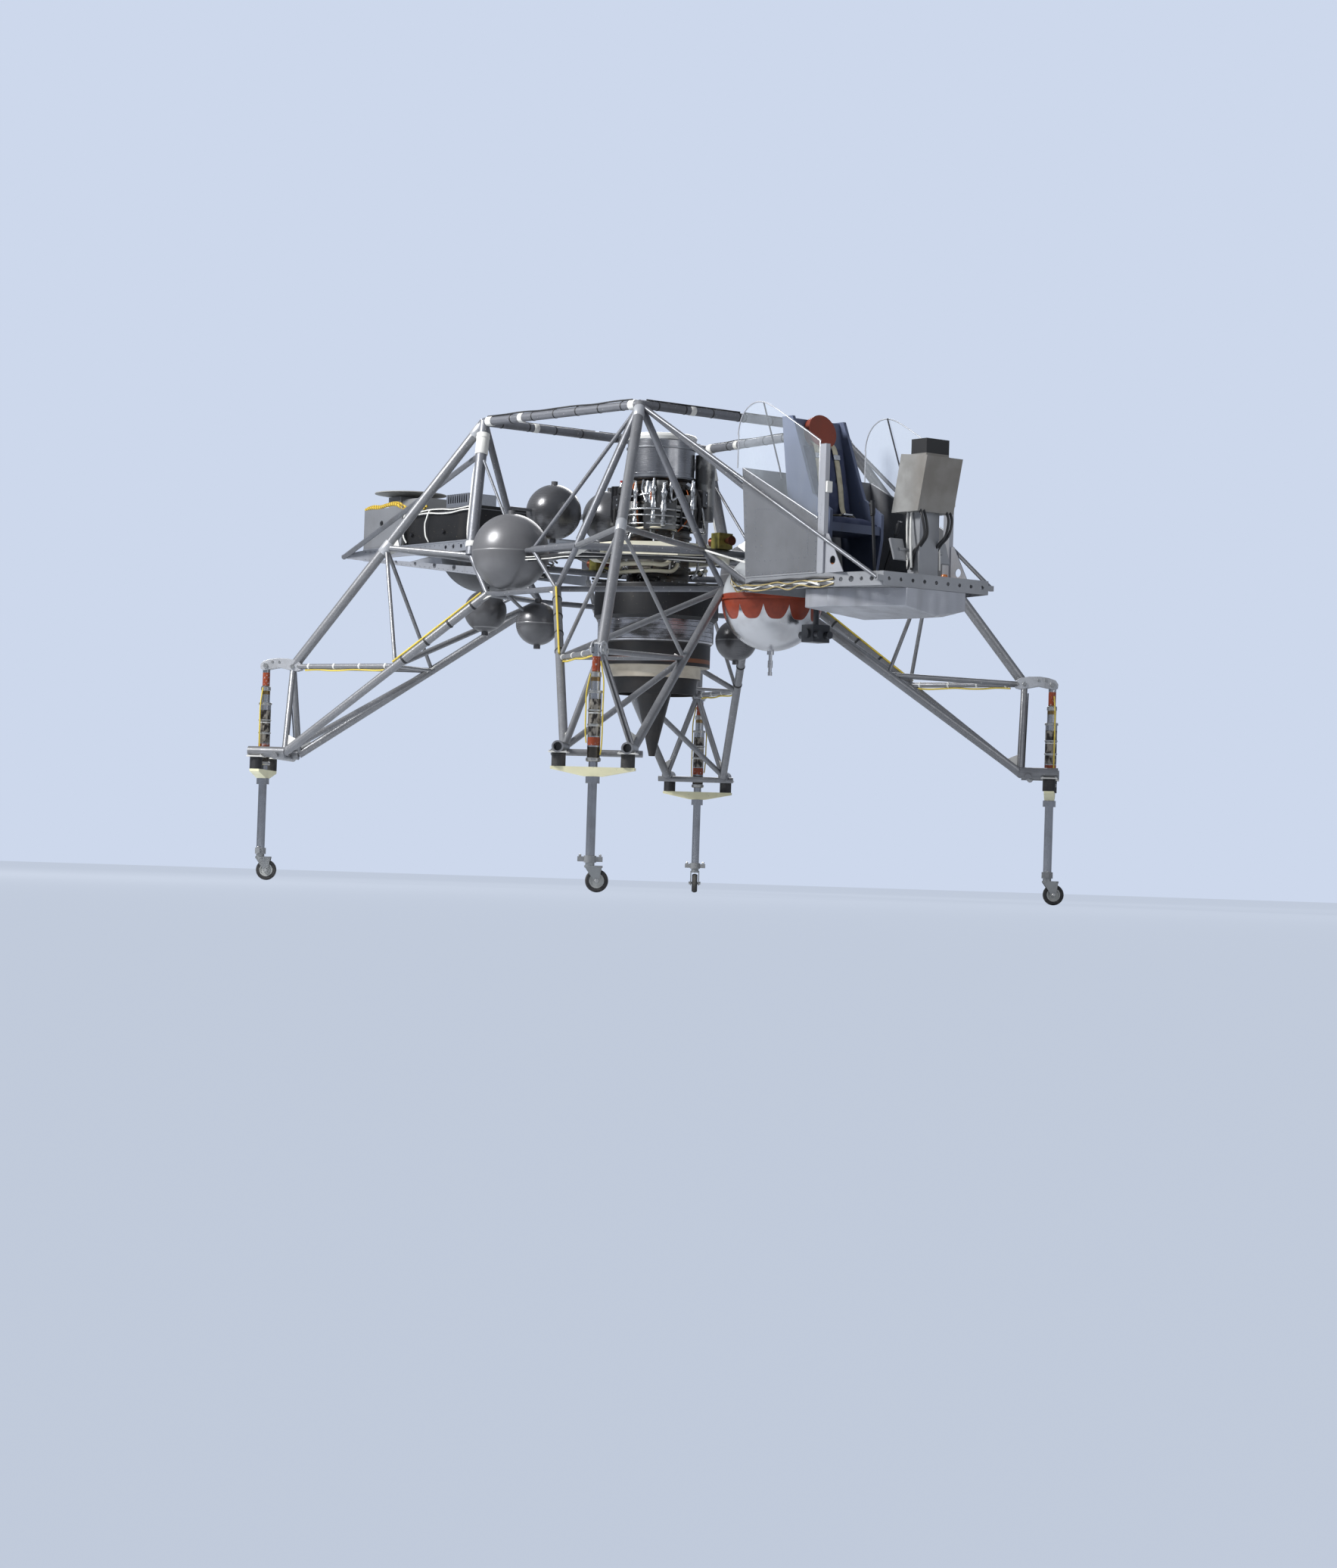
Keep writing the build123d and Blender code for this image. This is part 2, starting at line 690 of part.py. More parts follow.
# Casters: a trailing fork on a swivel stem, with its axle, a hub and a solid tyre.
crown_z = 2 * wheel_radius + tyre_gap
fork_half = tyre_width / 2 + fork_gap + fork_cheek
with BuildPart() as fork_unit:
    with BuildSketch(Plane.XY.offset(crown_z)):
        with Locations((caster_trail / 2, 0)):
            SlotCenterToCenter(caster_trail, 2 * fork_half)
    extrude(amount=fork_crown)
    with Locations((0, 0, crown_z)):
        Cylinder(boss_radius, collar_bottom_z - seat_gap - crown_z,
                 align=(Align.CENTER, Align.CENTER, Align.MIN))
        Cylinder(stem_radius, collar_bottom_z - crown_z + collar_height - 7,
                 align=(Align.CENTER, Align.CENTER, Align.MIN))
    with BuildSketch(Plane.XZ.offset(-fork_half)) as cheek:
        with BuildLine():
            Polyline(
                (caster_trail - fork_eye, wheel_radius),
                (-boss_radius, crown_z + 1),
                (caster_trail + boss_radius, crown_z + 1),
                (caster_trail + fork_eye, wheel_radius),
            )
            ThreePointArc(
                (caster_trail + fork_eye, wheel_radius),
                (caster_trail, wheel_radius - fork_eye),
                (caster_trail - fork_eye, wheel_radius),
            )
        make_face()
    extrude(amount=fork_cheek)
    extrude(cheek.sketch.moved(Location((0, -2 * fork_half + fork_cheek, 0))), amount=fork_cheek, dir=(0, -1, 0))
    add(bar((caster_trail, -fork_half - 4, wheel_radius), (caster_trail, fork_half + 4, wheel_radius), 2 * axle_radius))

wheel_centre = Plane(origin=(caster_trail, 0, wheel_radius), x_dir=(1, 0, 0), z_dir=(0, 1, 0))
with BuildPart() as hub_unit:
    with BuildSketch(wheel_centre):
        Circle(rim_radius)
        Circle(axle_radius + pin_clearance, mode=Mode.SUBTRACT)
    extrude(amount=hub_width / 2, both=True)
    with BuildSketch(wheel_centre.offset(hub_width / 2 - 6), wheel_centre.offset(-hub_width / 2 - 6)):
        Circle(rim_radius - 8)
        Circle(axle_radius + 12, mode=Mode.SUBTRACT)
    extrude(amount=12, mode=Mode.SUBTRACT)

with BuildPart() as tyre_unit:
    with BuildSketch(Plane.YZ.offset(caster_trail)):
        with BuildLine():
            crown_height = 2 * wheel_radius
            shoulder_z = wheel_radius + 0.88 * wheel_radius
            bead_z = wheel_radius + rim_radius + seat_gap
            Polyline(
                (-tyre_width / 2, shoulder_z),
                (-tyre_width / 2, bead_z),
                (tyre_width / 2, bead_z),
                (tyre_width / 2, shoulder_z),
            )
            ThreePointArc((tyre_width / 2, shoulder_z), (0, crown_height), (-tyre_width / 2, shoulder_z))
        make_face()
    revolve(axis=Axis((caster_trail, 0, wheel_radius), (0, 1, 0)))

# Which way each caster trails at rest, in degrees from straight ahead.
caster_yaws = {
    ("front", "starboard"): 52,
    ("front", "port"): 52,
    ("rear", "starboard"): 52,
    ("rear", "port"): -38,
}
for leg in legs:
    name = f"{leg.end}_{leg.side}"
    spot = Location((*leg.strut, 0), (0, 0, caster_yaws[(leg.end, leg.side)]))
    for kind, unit in (("caster_fork", fork_unit), ("wheel_hub", hub_unit), ("tyre", tyre_unit)):
        with BuildPart() as placed:
            add(unit.part.moved(spot))
        pieces[f"{kind}_{name}"] = placed

# Gimbal ring: eight flats, two pins to the frame's bearings and two bores for the engine.
with BuildPart() as gimbal_ring:
    with BuildSketch(Plane.XY.offset(pivot_z - gimbal_height / 2)):
        RegularPolygon(gimbal_flats / 2, 8, major_radius=False, rotation=22.5)
        RegularPolygon(gimbal_flats / 2 - gimbal_wall, 8, major_radius=False, rotation=22.5, mode=Mode.SUBTRACT)
    extrude(amount=gimbal_height)
    for y_side in (1, -1):
        add(bar((0, (gimbal_flats / 2 - gimbal_wall / 2) * y_side, pivot_z),
                (0, (bearing_outer_y - 6) * y_side, pivot_z), 2 * gimbal_pin_radius))
    add(bar((-gimbal_flats, 0, pivot_z), (gimbal_flats, 0, pivot_z), 2 * (gimbal_pin_radius + pin_clearance)),
        mode=Mode.SUBTRACT)
pieces["gimbal_ring"] = gimbal_ring

# Engine, from the intake down.
with BuildPart() as intake:
    with BuildSketch(Plane.XZ):
        with BuildLine():
            duct_floor_z = intake_top_z - intake_depth
            lip_z = intake_top_z - (intake_lip_radius - intake_duct_radius) / 2
            Polyline(
                (0, duct_floor_z + spinner_radius),
                (0, intake_bottom_z),
                (intake_radius, intake_bottom_z),
                (intake_radius, lip_z - 30),
                (intake_lip_radius, lip_z),
            )
            ThreePointArc(
                (intake_lip_radius, lip_z),
                ((intake_lip_radius + intake_duct_radius) / 2, intake_top_z),
                (intake_duct_radius, lip_z),
            )
            Polyline(
                (intake_duct_radius, lip_z),
                (intake_duct_radius, duct_floor_z),
                (spinner_radius, duct_floor_z),
            )
            CenterArc((0, duct_floor_z), spinner_radius, 0, 90)
        make_face()
    revolve(axis=Axis.Z)
pieces["engine_intake"] = intake

flange_heights = (intake_bottom_z - seat_gap - flange_height, 2760, 2560, 2330, cowl_top_z + 4)
with BuildPart() as engine_core:
    with Locations((0, 0, cowl_top_z + seat_gap)):
        Cylinder(core_radius, intake_bottom_z - cowl_top_z - 2 * seat_gap,
                 align=(Align.CENTER, Align.CENTER, Align.MIN))
    for height in flange_heights:
        with Locations((0, 0, height)):
            Cylinder(flange_radius, flange_height, align=(Align.CENTER, Align.CENTER, Align.MIN))
    for x_side in (1, -1):
        add(bar((0, 0, pivot_z), ((gimbal_flats / 2 + 12) * x_side, 0, pivot_z), 2 * gimbal_pin_radius))
pieces["engine_core"] = engine_core

# Fan cowl: an annular duct round the hub, open on top, with a ring of guide vanes.
fan_floor_z = cowl_top_z - fan_depth
cowl_inner = cowl_radius - cowl_wall
cowl_lip_z = cowl_top_z - cowl_wall / 2
with BuildPart() as fan_cowl:
    with BuildSketch(Plane.XZ):
        with BuildLine():
            Polyline(
                (cowl_inner, cowl_lip_z),
                (cowl_inner, fan_floor_z),
                (core_radius, fan_floor_z),
                (core_radius, cowl_top_z),
                (0, cowl_top_z),
                (0, cowl_bottom_z),
                (cowl_radius - cowl_wall, cowl_bottom_z),
                (cowl_radius, cowl_bottom_z + cowl_wall),
                (cowl_radius, cowl_lip_z),
            )
            ThreePointArc(
                (cowl_radius, cowl_lip_z),
                ((cowl_radius + cowl_inner) / 2, cowl_top_z),
                (cowl_inner, cowl_lip_z),
            )
        make_face()
    revolve(axis=Axis.Z)
    with PolarLocations(0, vane_count):
        with Locations(((core_radius + cowl_inner) / 2, 0, fan_floor_z + vane_height / 2)):
            Box(cowl_inner - core_radius + 8, vane_wall, vane_height)
pieces["fan_cowl"] = fan_cowl

with BuildPart() as tailpipe:
    with BuildSketch(Plane.XZ):
        with BuildLine():
            tail_top_z = cowl_bottom_z - seat_gap
            Polyline(
                (0, tail_top_z),
                (tail_radius + 20, tail_top_z),
                (tail_radius + 20, tail_top_z - 150),
                (tail_radius, tail_top_z - 170),
                (tail_radius, tail_bottom_z),
                (nozzle_radius, tail_bottom_z),
                (nozzle_radius, nozzle_ring_z),
                (nozzle_exit_radius + 12, nozzle_ring_z),
                (nozzle_exit_radius, nozzle_bottom_z),
                (nozzle_exit_radius - 10, nozzle_bottom_z),
                (nozzle_exit_radius + 2, tail_bottom_z + 60),
                (cone_radius, tail_bottom_z + 60),
                (cone_radius, nozzle_ring_z),
                (cone_tip_radius, cone_tip_z),
                (0, cone_tip_z),
                close=True,
            )
        make_face()
    revolve(axis=Axis.Z)
pieces["engine_tailpipe"] = tailpipe

# Accessories round the core: a ring on the core's flange that carries upright pumps,
# tanks and the gearbox, tied by three ring pipes and short risers.
accessory_rows = [
    # degrees round the core, from the axis, radius, bottom, top
    (-37, 300, 55, 2740, 2950),
    (-75, 292, 48, 2600, 2800),
    (10, 296, 50, 2640, 2860),
    (60, 325, 72, 2700, 3180),
    (110, 290, 45, 2620, 2900),
    (170, 296, 52, 2600, 2820),
    (-130, 300, 55, 2650, 2930),
]
carrier_ring_radius = 310
pipe_ring_radius = 262
pipe_radius = 9
pipe_heights = (2620, 2665, 2710)
riser_count = 10
riser_start = 25
riser_radius = 7
riser_top_z = 2960
with BuildPart() as engine_accessories:
    with Locations((0, 0, flange_heights[1] + flange_height / 2)):
        Cylinder(carrier_ring_radius, 24)
        Cylinder(flange_radius + seat_gap, 30, mode=Mode.SUBTRACT)
    for angle, out, radius, bottom_z, top_z in accessory_rows:
        with PolarLocations(out, 1, start_angle=angle):
            with Locations((0, 0, bottom_z)):
                Cylinder(radius, top_z - bottom_z, align=(Align.CENTER, Align.CENTER, Align.MIN))
    with PolarLocations(flange_radius + seat_gap, 1, start_angle=accessory_rows[0][0]):
        with Locations((0, 0, 2600)):
            Box(118, 230, 190, align=(Align.MIN, Align.CENTER, Align.MIN))
    for height in pipe_heights:
        with BuildSketch(Plane.XY.offset(height)):
            Circle(pipe_ring_radius + pipe_radius)
            Circle(pipe_ring_radius - pipe_radius, mode=Mode.SUBTRACT)
        extrude(amount=2 * pipe_radius)
    with PolarLocations(pipe_ring_radius, riser_count, start_angle=riser_start):
        with Locations((0, 0, pipe_heights[0] + 2)):
            Cylinder(riser_radius, riser_top_z - pipe_heights[0], align=(Align.CENTER, Align.CENTER, Align.MIN))
pieces["engine_accessories"] = engine_accessories

# Attitude thrusters: valve blocks on the middle frame's end tubes, a bell to each side.
thruster_block = (90, 120, 110)
bell_throat = 14
bell_mouth = 34
bell_length = 70
thruster_y = 280
with BuildPart() as attitude_thrusters:
    for x_side in (1, -1):
        for y_side in (1, -1):
            x, y, z = frame_joints["mid_front"]
            block_z = z + frame_tube / 2 + seat_gap + thruster_block[2] / 2
            with Locations((x * x_side, thruster_y * y_side, block_z)):
                Box(*thruster_block)
                for turn in (90, -90):
                    with Locations(Location((0, 0, 0), (0, turn, 0))):
                        with Locations((0, 0, thruster_block[0] / 2 - 1)):
                            Cone(bell_throat, bell_mouth, bell_length,
                                 align=(Align.CENTER, Align.CENTER, Align.MIN))
pieces["attitude_thrusters"] = attitude_thrusters

# Cockpit sides: a panel, a clear arched window over it and a post with a gusset.
with BuildPart() as side_panels:
    for y_face in (cockpit_half_width, -cockpit_half_width + panel_wall):
        with BuildSketch(Plane.XZ.offset(-y_face)):
            with BuildLine():
                Polyline(
                    (cockpit_rear_x, floor_z + seat_gap),
                    (cockpit_post_x - post_depth / 2 - seat_gap, floor_z + seat_gap),
                    (cockpit_post_x - post_depth / 2 - seat_gap, panel_front_z),
                    (cockpit_rear_x - bulkhead_lean, panel_rear_z),
                    close=True,
                )
            make_face()
        extrude(amount=panel_wall)
pieces["side_panels"] = side_panels

with BuildPart() as side_windows:
    for y_face in (cockpit_half_width - 2, -cockpit_half_width + 2 + window_wall):
        with BuildSketch(Plane.XZ.offset(-y_face)):
            with BuildLine():
                front_x = cockpit_post_x - post_depth / 2 - seat_gap
                Polyline(
                    (arch_rear_x, panel_rear_z + 120),
                    (arch_rear_x, panel_rear_z + seat_gap),
                    (cockpit_rear_x - bulkhead_lean, panel_rear_z + seat_gap),
                    (front_x, panel_front_z + seat_gap),
                    (front_x, post_top_z),
                )
                ThreePointArc((front_x, post_top_z), arch_top, (arch_rear_x, panel_rear_z + 120))
            make_face()
        extrude(amount=window_wall)
pieces["side_windows"] = side_windows

gusset_reach = 190
gusset_rise = 260
gusset_wall = 6
gusset_hole = 29
with BuildPart() as cockpit_posts:
    for y_side in (1, -1):
        with Locations((cockpit_post_x, (cockpit_half_width - post_width / 2) * y_side, floor_z + seat_gap)):
            Box(post_depth, post_width, post_top_z - floor_z, align=(Align.CENTER, Align.CENTER, Align.MIN))
        gusset_face = (cockpit_half_width - post_width / 2) * y_side + gusset_wall / 2
        foot_x = cockpit_post_x + post_depth / 2
        with BuildSketch(Plane.XZ.offset(-gusset_face)):
            with BuildLine():
                Polyline(
                    (foot_x - 2, floor_z + seat_gap),
                    (foot_x + gusset_reach, floor_z + seat_gap),
                    (foot_x + 30, floor_z + gusset_rise),
                    (foot_x - 2, floor_z + gusset_rise),
                    close=True,
                )
            make_face()
            with Locations((foot_x + 80, floor_z + 81)):
                Circle(gusset_hole, mode=Mode.SUBTRACT)
        extrude(amount=gusset_wall)
pieces["cockpit_posts"] = cockpit_posts

# Fairing below the cockpit floor.
fairing_bottom_z = 1870
with BuildPart() as floor_fairing:
    for height, rear_x, turn_x, front_x, wide, narrow in (
        (floor_z - beam_height - seat_gap, 2050, cockpit_post_x, nose_x, cockpit_half_width, nose_half_width),
        (fairing_bottom_z, 2250, 2500, 2840, 330, 270),
    ):
        with BuildSketch(Plane.XY.offset(height)):
            with BuildLine():
                Polyline(
                    (rear_x, -wide), (turn_x, -wide), (front_x, -narrow),
                    (front_x, narrow), (turn_x, wide), (rear_x, wide), close=True,
                )
            make_face()
    loft()
pieces["floor_fairing"] = floor_fairing

# Ejection seat: a bucket of two side plates, a pan and a leaning back, with a round headrest.
seat_width = 480
seat_side = 24
seat_pan_z = 2480
seat_cushion = 60
seat_foot_x = 1830
seat_front_x = 2200
seat_top_x = 1660
seat_top_z = 3290
seat_back_foot = (seat_foot_x + 70, seat_pan_z + seat_cushion)
seat_back_top = (seat_top_x + 70, seat_top_z - 10)
with BuildPart() as seat:
    for y_face in (seat_width / 2, -seat_width / 2 + seat_side):
        with BuildSketch(Plane.XZ.offset(-y_face)):
            with BuildLine():
                Polyline(
                    (seat_foot_x, floor_z + seat_gap),
                    (seat_front_x - 60, floor_z + seat_gap),
                    (seat_front_x, seat_pan_z - 30),
                    (seat_front_x, seat_pan_z + 140),
                    (seat_back_foot[0] + 110, seat_pan_z + 260),
                    (seat_top_x + 110, seat_top_z),
                    (seat_top_x, seat_top_z),
                    close=True,
                )
            make_face()
        extrude(amount=seat_side)
    with BuildSketch(Plane.XZ.offset(-(seat_width - seat_side) / 2)):
        with BuildLine():
            Polyline(
                seat_back_foot,
                (seat_front_x - 10, seat_pan_z + seat_cushion),
                (seat_front_x - 10, seat_pan_z),
                (seat_foot_x + 20, seat_pan_z),
                (seat_top_x + 20, seat_top_z - 10),
                seat_back_top,
                close=True,
            )
        make_face()
    extrude(amount=seat_width - seat_side)
pieces["seat"] = seat

headrest_radius = 120
headrest_depth = 60
headrest_share = 0.87
lean = Vector(seat_back_top[0] - seat_back_foot[0], 0, seat_back_top[1] - seat_back_foot[1])
face_out = lean.cross(Vector(0, -1, 0)).normalized()
head_x, head_z = between(seat_back_foot, seat_back_top, headrest_share)
with BuildPart() as headrest:
    with BuildSketch(Plane(origin=Vector(head_x, 0, head_z) + face_out * seat_gap, z_dir=face_out)):
        Circle(headrest_radius)
    extrude(amount=headrest_depth)
pieces["headrest"] = headrest

# Instrument console on its pedestal, with a pedal to each side of the pedestal.
console_x = 2880
pedestal_size = (110, 170, 420)
pedal_y = 190
pedal_size = (16, 110, 150)
pedal_bar = 22
pedal_z = floor_z + 170
with BuildPart() as console_pedestal:
    with Locations((console_x, 0, floor_z + seat_gap)):
        Box(*pedestal_size, align=(Align.CENTER, Align.CENTER, Align.MIN))
    add(bar((console_x - 30, -pedal_y, pedal_z), (console_x - 30, pedal_y, pedal_z), pedal_bar))
    for y_side in (1, -1):
        with Locations(Location((console_x - 30 - pedal_size[0] / 2, pedal_y * y_side, pedal_z), (0, -20, 0))):
            Box(*pedal_size)
pieces["console_pedestal"] = console_pedestal

console_foot_z = floor_z + 2 * seat_gap + pedestal_size[2]
console_width = 316
console_rim = 16
visor_size = (150, 200, 125)
with BuildPart() as instrument_console:
    with BuildSketch(Plane.XZ.offset(-console_width / 2)):
        with BuildLine():
            Polyline(
                (console_x - 150, console_foot_z),
                (console_x + 110, console_foot_z),
                (console_x + 190, console_foot_z + 360),
                (console_x - 70, console_foot_z + 385),
                close=True,
            )
        make_face()
    extrude(amount=console_width)
    with BuildSketch(Plane.XZ.offset(-console_width / 2 + console_rim)):
        with BuildLine():
            Polyline(
                (console_x - 160, console_foot_z + console_rim),
                (console_x - 146 + console_rim, console_foot_z + console_rim),
                (console_x - 74 + console_rim, console_foot_z + 385 - console_rim),
                (console_x - 100, console_foot_z + 385 - console_rim),
                close=True,
            )
        make_face()
    extrude(amount=console_width - 2 * console_rim, mode=Mode.SUBTRACT)
    with Locations((console_x + 40, 0, console_foot_z + 360)):
        Box(*visor_size, align=(Align.CENTER, Align.CENTER, Align.MIN))
pieces["instrument_console"] = instrument_console

# Control sticks: one between the pilot's knees and a lever to port of the seat.
stick_rows = [
    # foot, top, grip diameter
    ((2400, 0), (2360, 0, 2600), 36),
    ((2080, 330), (2230, 330, 2500), 34),
]
stick_tube = 22
grip_length = 90
with BuildPart() as control_sticks:
    for (foot_x, foot_y), top, grip in stick_rows:
        foot = (foot_x, foot_y, floor_z + seat_gap)
        with Locations(foot):
            Cylinder(45, 30, align=(Align.CENTER, Align.CENTER, Align.MIN))
        start = (foot_x, foot_y, floor_z + 16)
        add(bar(start, top, stick_tube))
        run = (Vector(*top) - Vector(*start)).normalized()
        add(bar(top, tuple(Vector(*top) + run * grip_length), grip))
pieces["control_sticks"] = control_sticks

# Valve cluster that hangs from the rear of the cockpit floor beside the front tank.
valve_x = cockpit_rear_x + 70
valve_block = (120, 150, 120)
valve_top_z = 1870
valve_stem = 40
with BuildPart() as valve_cluster:
    add(bar((valve_x, 0, valve_top_z - 2), (valve_x, 0, floor_z - floor_sheet - seat_gap), valve_stem))
    with Locations((valve_x, 0, valve_top_z - valve_block[2] / 2)):
        Box(*valve_block)
        for y in (-45, 45):
            with Locations((0, y, -10)):
                Cylinder(26, valve_block[0] + 80, rotation=(0, 90, 0))
        Cylinder(34, valve_block[1] + 40, rotation=(90, 0, 0))
pieces["valve_cluster"] = valve_cluster

# Aft platform: deck, bay panels, boxes, pod and antenna.
deck_sheet = 8
deck_top_z = platform_z + seat_gap + deck_sheet
deck_half = platform_half_width + platform_web / 2
with BuildPart() as platform_deck:
    with Locations(((platform_front_x + platform_rear_x) / 2, 0, platform_z + seat_gap)):
        Box(platform_front_x - platform_rear_x, 2 * deck_half, deck_sheet,
            align=(Align.CENTER, Align.CENTER, Align.MIN))
pieces["platform_deck"] = platform_deck

bay_wall = 10
bay_length = 540
bay_height = 310
bay_hole = (250, 190)
bay_hole_radius = 24
with BuildPart() as bay_panels:
    with Locations((platform_rear_x, 0, deck_top_z + seat_gap)):
        Box(bay_length, 2 * deck_half, bay_height, align=(Align.MIN, Align.CENTER, Align.MIN))
    with Locations((platform_rear_x + bay_wall, 0, deck_top_z + seat_gap)):
        Box(bay_length, 2 * (deck_half - bay_wall), bay_height, align=(Align.MIN, Align.CENTER, Align.MIN),
            mode=Mode.SUBTRACT)
    with Locations((platform_rear_x + bay_hole[0], 0, deck_top_z + bay_hole[1])):
        Cylinder(bay_hole_radius, 3 * deck_half, rotation=(90, 0, 0), mode=Mode.SUBTRACT)
pieces["bay_panels"] = bay_panels

avionics_size = (980, 600, 262)
avionics_x = platform_rear_x + bay_length + 10
with BuildPart() as avionics_box:
    with Locations((avionics_x, 0, deck_top_z + seat_gap)):
        Box(*avionics_size, align=(Align.MIN, Align.CENTER, Align.MIN))
pieces["avionics_box"] = avionics_box

radio_size = (300, 260, 110)
fin_count = 9
fin_slot = (16, 70)
radio_floor_z = deck_top_z + 2 * seat_gap + avionics_size[2]
radio_middle_x = avionics_x + 480 + radio_size[0] / 2
with BuildPart() as finned_unit:
    with Locations((radio_middle_x, -130, radio_floor_z)):
        Box(*radio_size, align=(Align.CENTER, Align.CENTER, Align.MIN))
    with Locations((radio_middle_x, -130, radio_floor_z + radio_size[2] - fin_slot[1])):
        with GridLocations(radio_size[0] / (fin_count + 1), 0, fin_count, 1):
            Box(fin_slot[0], 2 * radio_size[1], 2 * fin_slot[1],
                align=(Align.CENTER, Align.CENTER, Align.MIN), mode=Mode.SUBTRACT)
pieces["finned_unit"] = finned_unit

# Antenna: a shallow saucer on a stand of two boxes.
stand_x = platform_rear_x + bay_wall + 40
stand_rows = [
    # along, across, height
    (170, 300, 425),
    (300, 260, 400),
]
stand_top_z = deck_top_z + seat_gap + stand_rows[0][2]
with BuildPart() as antenna_stand:
    near_x = stand_x
    for along, across, height in stand_rows:
        with Locations((near_x - 1, 0, deck_top_z + seat_gap)):
            Box(along + 1, across, height, align=(Align.MIN, Align.CENTER, Align.MIN))
        near_x += along
pieces["antenna_stand"] = antenna_stand

disc_radius = 285
disc_hub = 110
disc_height = 46
disc_x = stand_x + stand_rows[0][0] / 2
with BuildPart() as antenna_disc:
    with BuildSketch(Plane.XZ):
        with BuildLine():
            Polyline(
                (0, 0),
                (disc_hub, 0),
                (disc_radius, disc_height - 18),
                (disc_radius, disc_height - 12),
                (disc_hub, disc_height),
                (0, disc_height),
                close=True,
            )
        make_face()
    revolve(axis=Axis.Z)
antenna_disc.part.move(Location((disc_x, 0, stand_top_z + seat_gap)))
pieces["antenna_disc"] = antenna_disc

# Equipment pod: a round-bottomed housing that hangs between the platform's beams.
pod_radius = 305
pod_nose = 120
pod_length = 900
pod_axis_z = platform_z - 60
pod_rear_x = platform_front_x - 420 - pod_length
pod_plane = Plane(origin=(pod_rear_x, 0, pod_axis_z), x_dir=(1, 0, 0), z_dir=(0, -1, 0))
with BuildPart() as equipment_pod:
    with BuildSketch(pod_plane):
        with BuildLine():
            Polyline((0, 0), (pod_length, 0), (pod_length, pod_nose))
            ThreePointArc((pod_length, pod_nose), (pod_length / 2, pod_radius), (0, pod_nose))
            Line((0, pod_nose), (0, 0))
        make_face()
    revolve(axis=Axis((pod_rear_x, 0, pod_axis_z), (1, 0, 0)))
    with Locations((pod_rear_x + pod_length / 2, 0, platform_z)):
        Box(2 * pod_length, 3 * pod_radius, pod_radius, align=(Align.CENTER, Align.CENTER, Align.MIN),
            mode=Mode.SUBTRACT)
pieces["equipment_pod"] = equipment_pod

# The row's origin is on the ground under the middle of the whole vehicle.
boxes = [piece.part.bounding_box() for piece in pieces.values()]
middle_x = (min(box.min.X for box in boxes) + max(box.max.X for box in boxes)) / 2
for name, piece in pieces.items():
    piece.part.move(Location((-middle_x, 0, 0)))
    piece.part.label = name
    export_step(piece.part, f"parts/{name}.step")
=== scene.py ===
import bpy
import numpy as np
from mathutils import Matrix


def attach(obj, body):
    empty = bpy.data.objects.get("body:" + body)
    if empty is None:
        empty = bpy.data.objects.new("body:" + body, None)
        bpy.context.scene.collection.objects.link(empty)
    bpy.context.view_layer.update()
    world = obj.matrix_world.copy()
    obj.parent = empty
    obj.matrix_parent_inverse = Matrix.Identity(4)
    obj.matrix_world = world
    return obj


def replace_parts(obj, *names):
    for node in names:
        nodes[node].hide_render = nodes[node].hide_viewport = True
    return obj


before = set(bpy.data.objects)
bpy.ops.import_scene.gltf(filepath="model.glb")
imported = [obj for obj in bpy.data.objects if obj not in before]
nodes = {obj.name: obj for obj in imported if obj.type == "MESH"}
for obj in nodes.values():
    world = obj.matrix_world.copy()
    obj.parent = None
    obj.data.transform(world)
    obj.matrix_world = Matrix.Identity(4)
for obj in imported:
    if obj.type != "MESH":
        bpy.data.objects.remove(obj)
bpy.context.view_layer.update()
scene = bpy.context.scene

# ---- View and studio ----
# The view is from the floor, 26 metres off the starboard bow, and leans a little. The floor is
# a plain pale sheet, and the lamps are large soft boxes: one high to the left, two weaker ones.
camera = bpy.data.objects.new("camera", bpy.data.cameras.new("camera"))
scene.collection.objects.link(camera)
view_right = (0.612665, 0.789703, 0.031794)
view_up = (0.001419, -0.041327, 0.999145)
view_back = (0.790341, -0.612096, -0.026440)
view_spot = (20.9593, -15.8185, 0.1)
camera.matrix_world = Matrix([[*row]
                              for row in zip(view_right, view_up, view_back, view_spot)] + [[0, 0, 0, 1]])
camera.data.lens = 82.52
camera.data.clip_end = 400
scene.camera = camera
scene.view_settings.view_transform = "Standard"


class Value:
    """A number or colour inside a material. Sums, products and powers of it add Math nodes."""

    def __init__(self, finish, socket):
        self.finish = finish
        self.socket = socket

    def math(self, operation, first, second=0.0):
        return self.finish.node("Math", {"operation": operation}, {0: first, 1: second})

    def __add__(self, other):
        return self.math("ADD", self, other)

    def __sub__(self, other):
        return self.math("SUBTRACT", self, other)

    def __rsub__(self, other):
        return self.math("SUBTRACT", other, self)

    def __mul__(self, other):
        return self.math("MULTIPLY", self, other)

    def __truediv__(self, other):
        return self.math("DIVIDE", self, other)

    def __pow__(self, other):
        return self.math("POWER", self, other)

    __radd__ = __add__
    __rmul__ = __mul__

    def step(self, low, high):
        """0 below low and 1 above high, with a smooth rise between."""
        settings = {"interpolation_type": "SMOOTHSTEP"}
        return self.finish.node("MapRange", settings, {0: self, 1: low, 2: high})

    def within(self, low, high, soft=0.0008):
        """1 between low and high, and 0 outside."""
        return self.step(low - soft, low + soft) * (1 - self.step(high - soft, high + soft))

    def wave(self, pitch):
        """Repeats 0 to 1 and back over each pitch."""
        return self.math("PINGPONG", self, pitch / 2) * (2 / pitch)


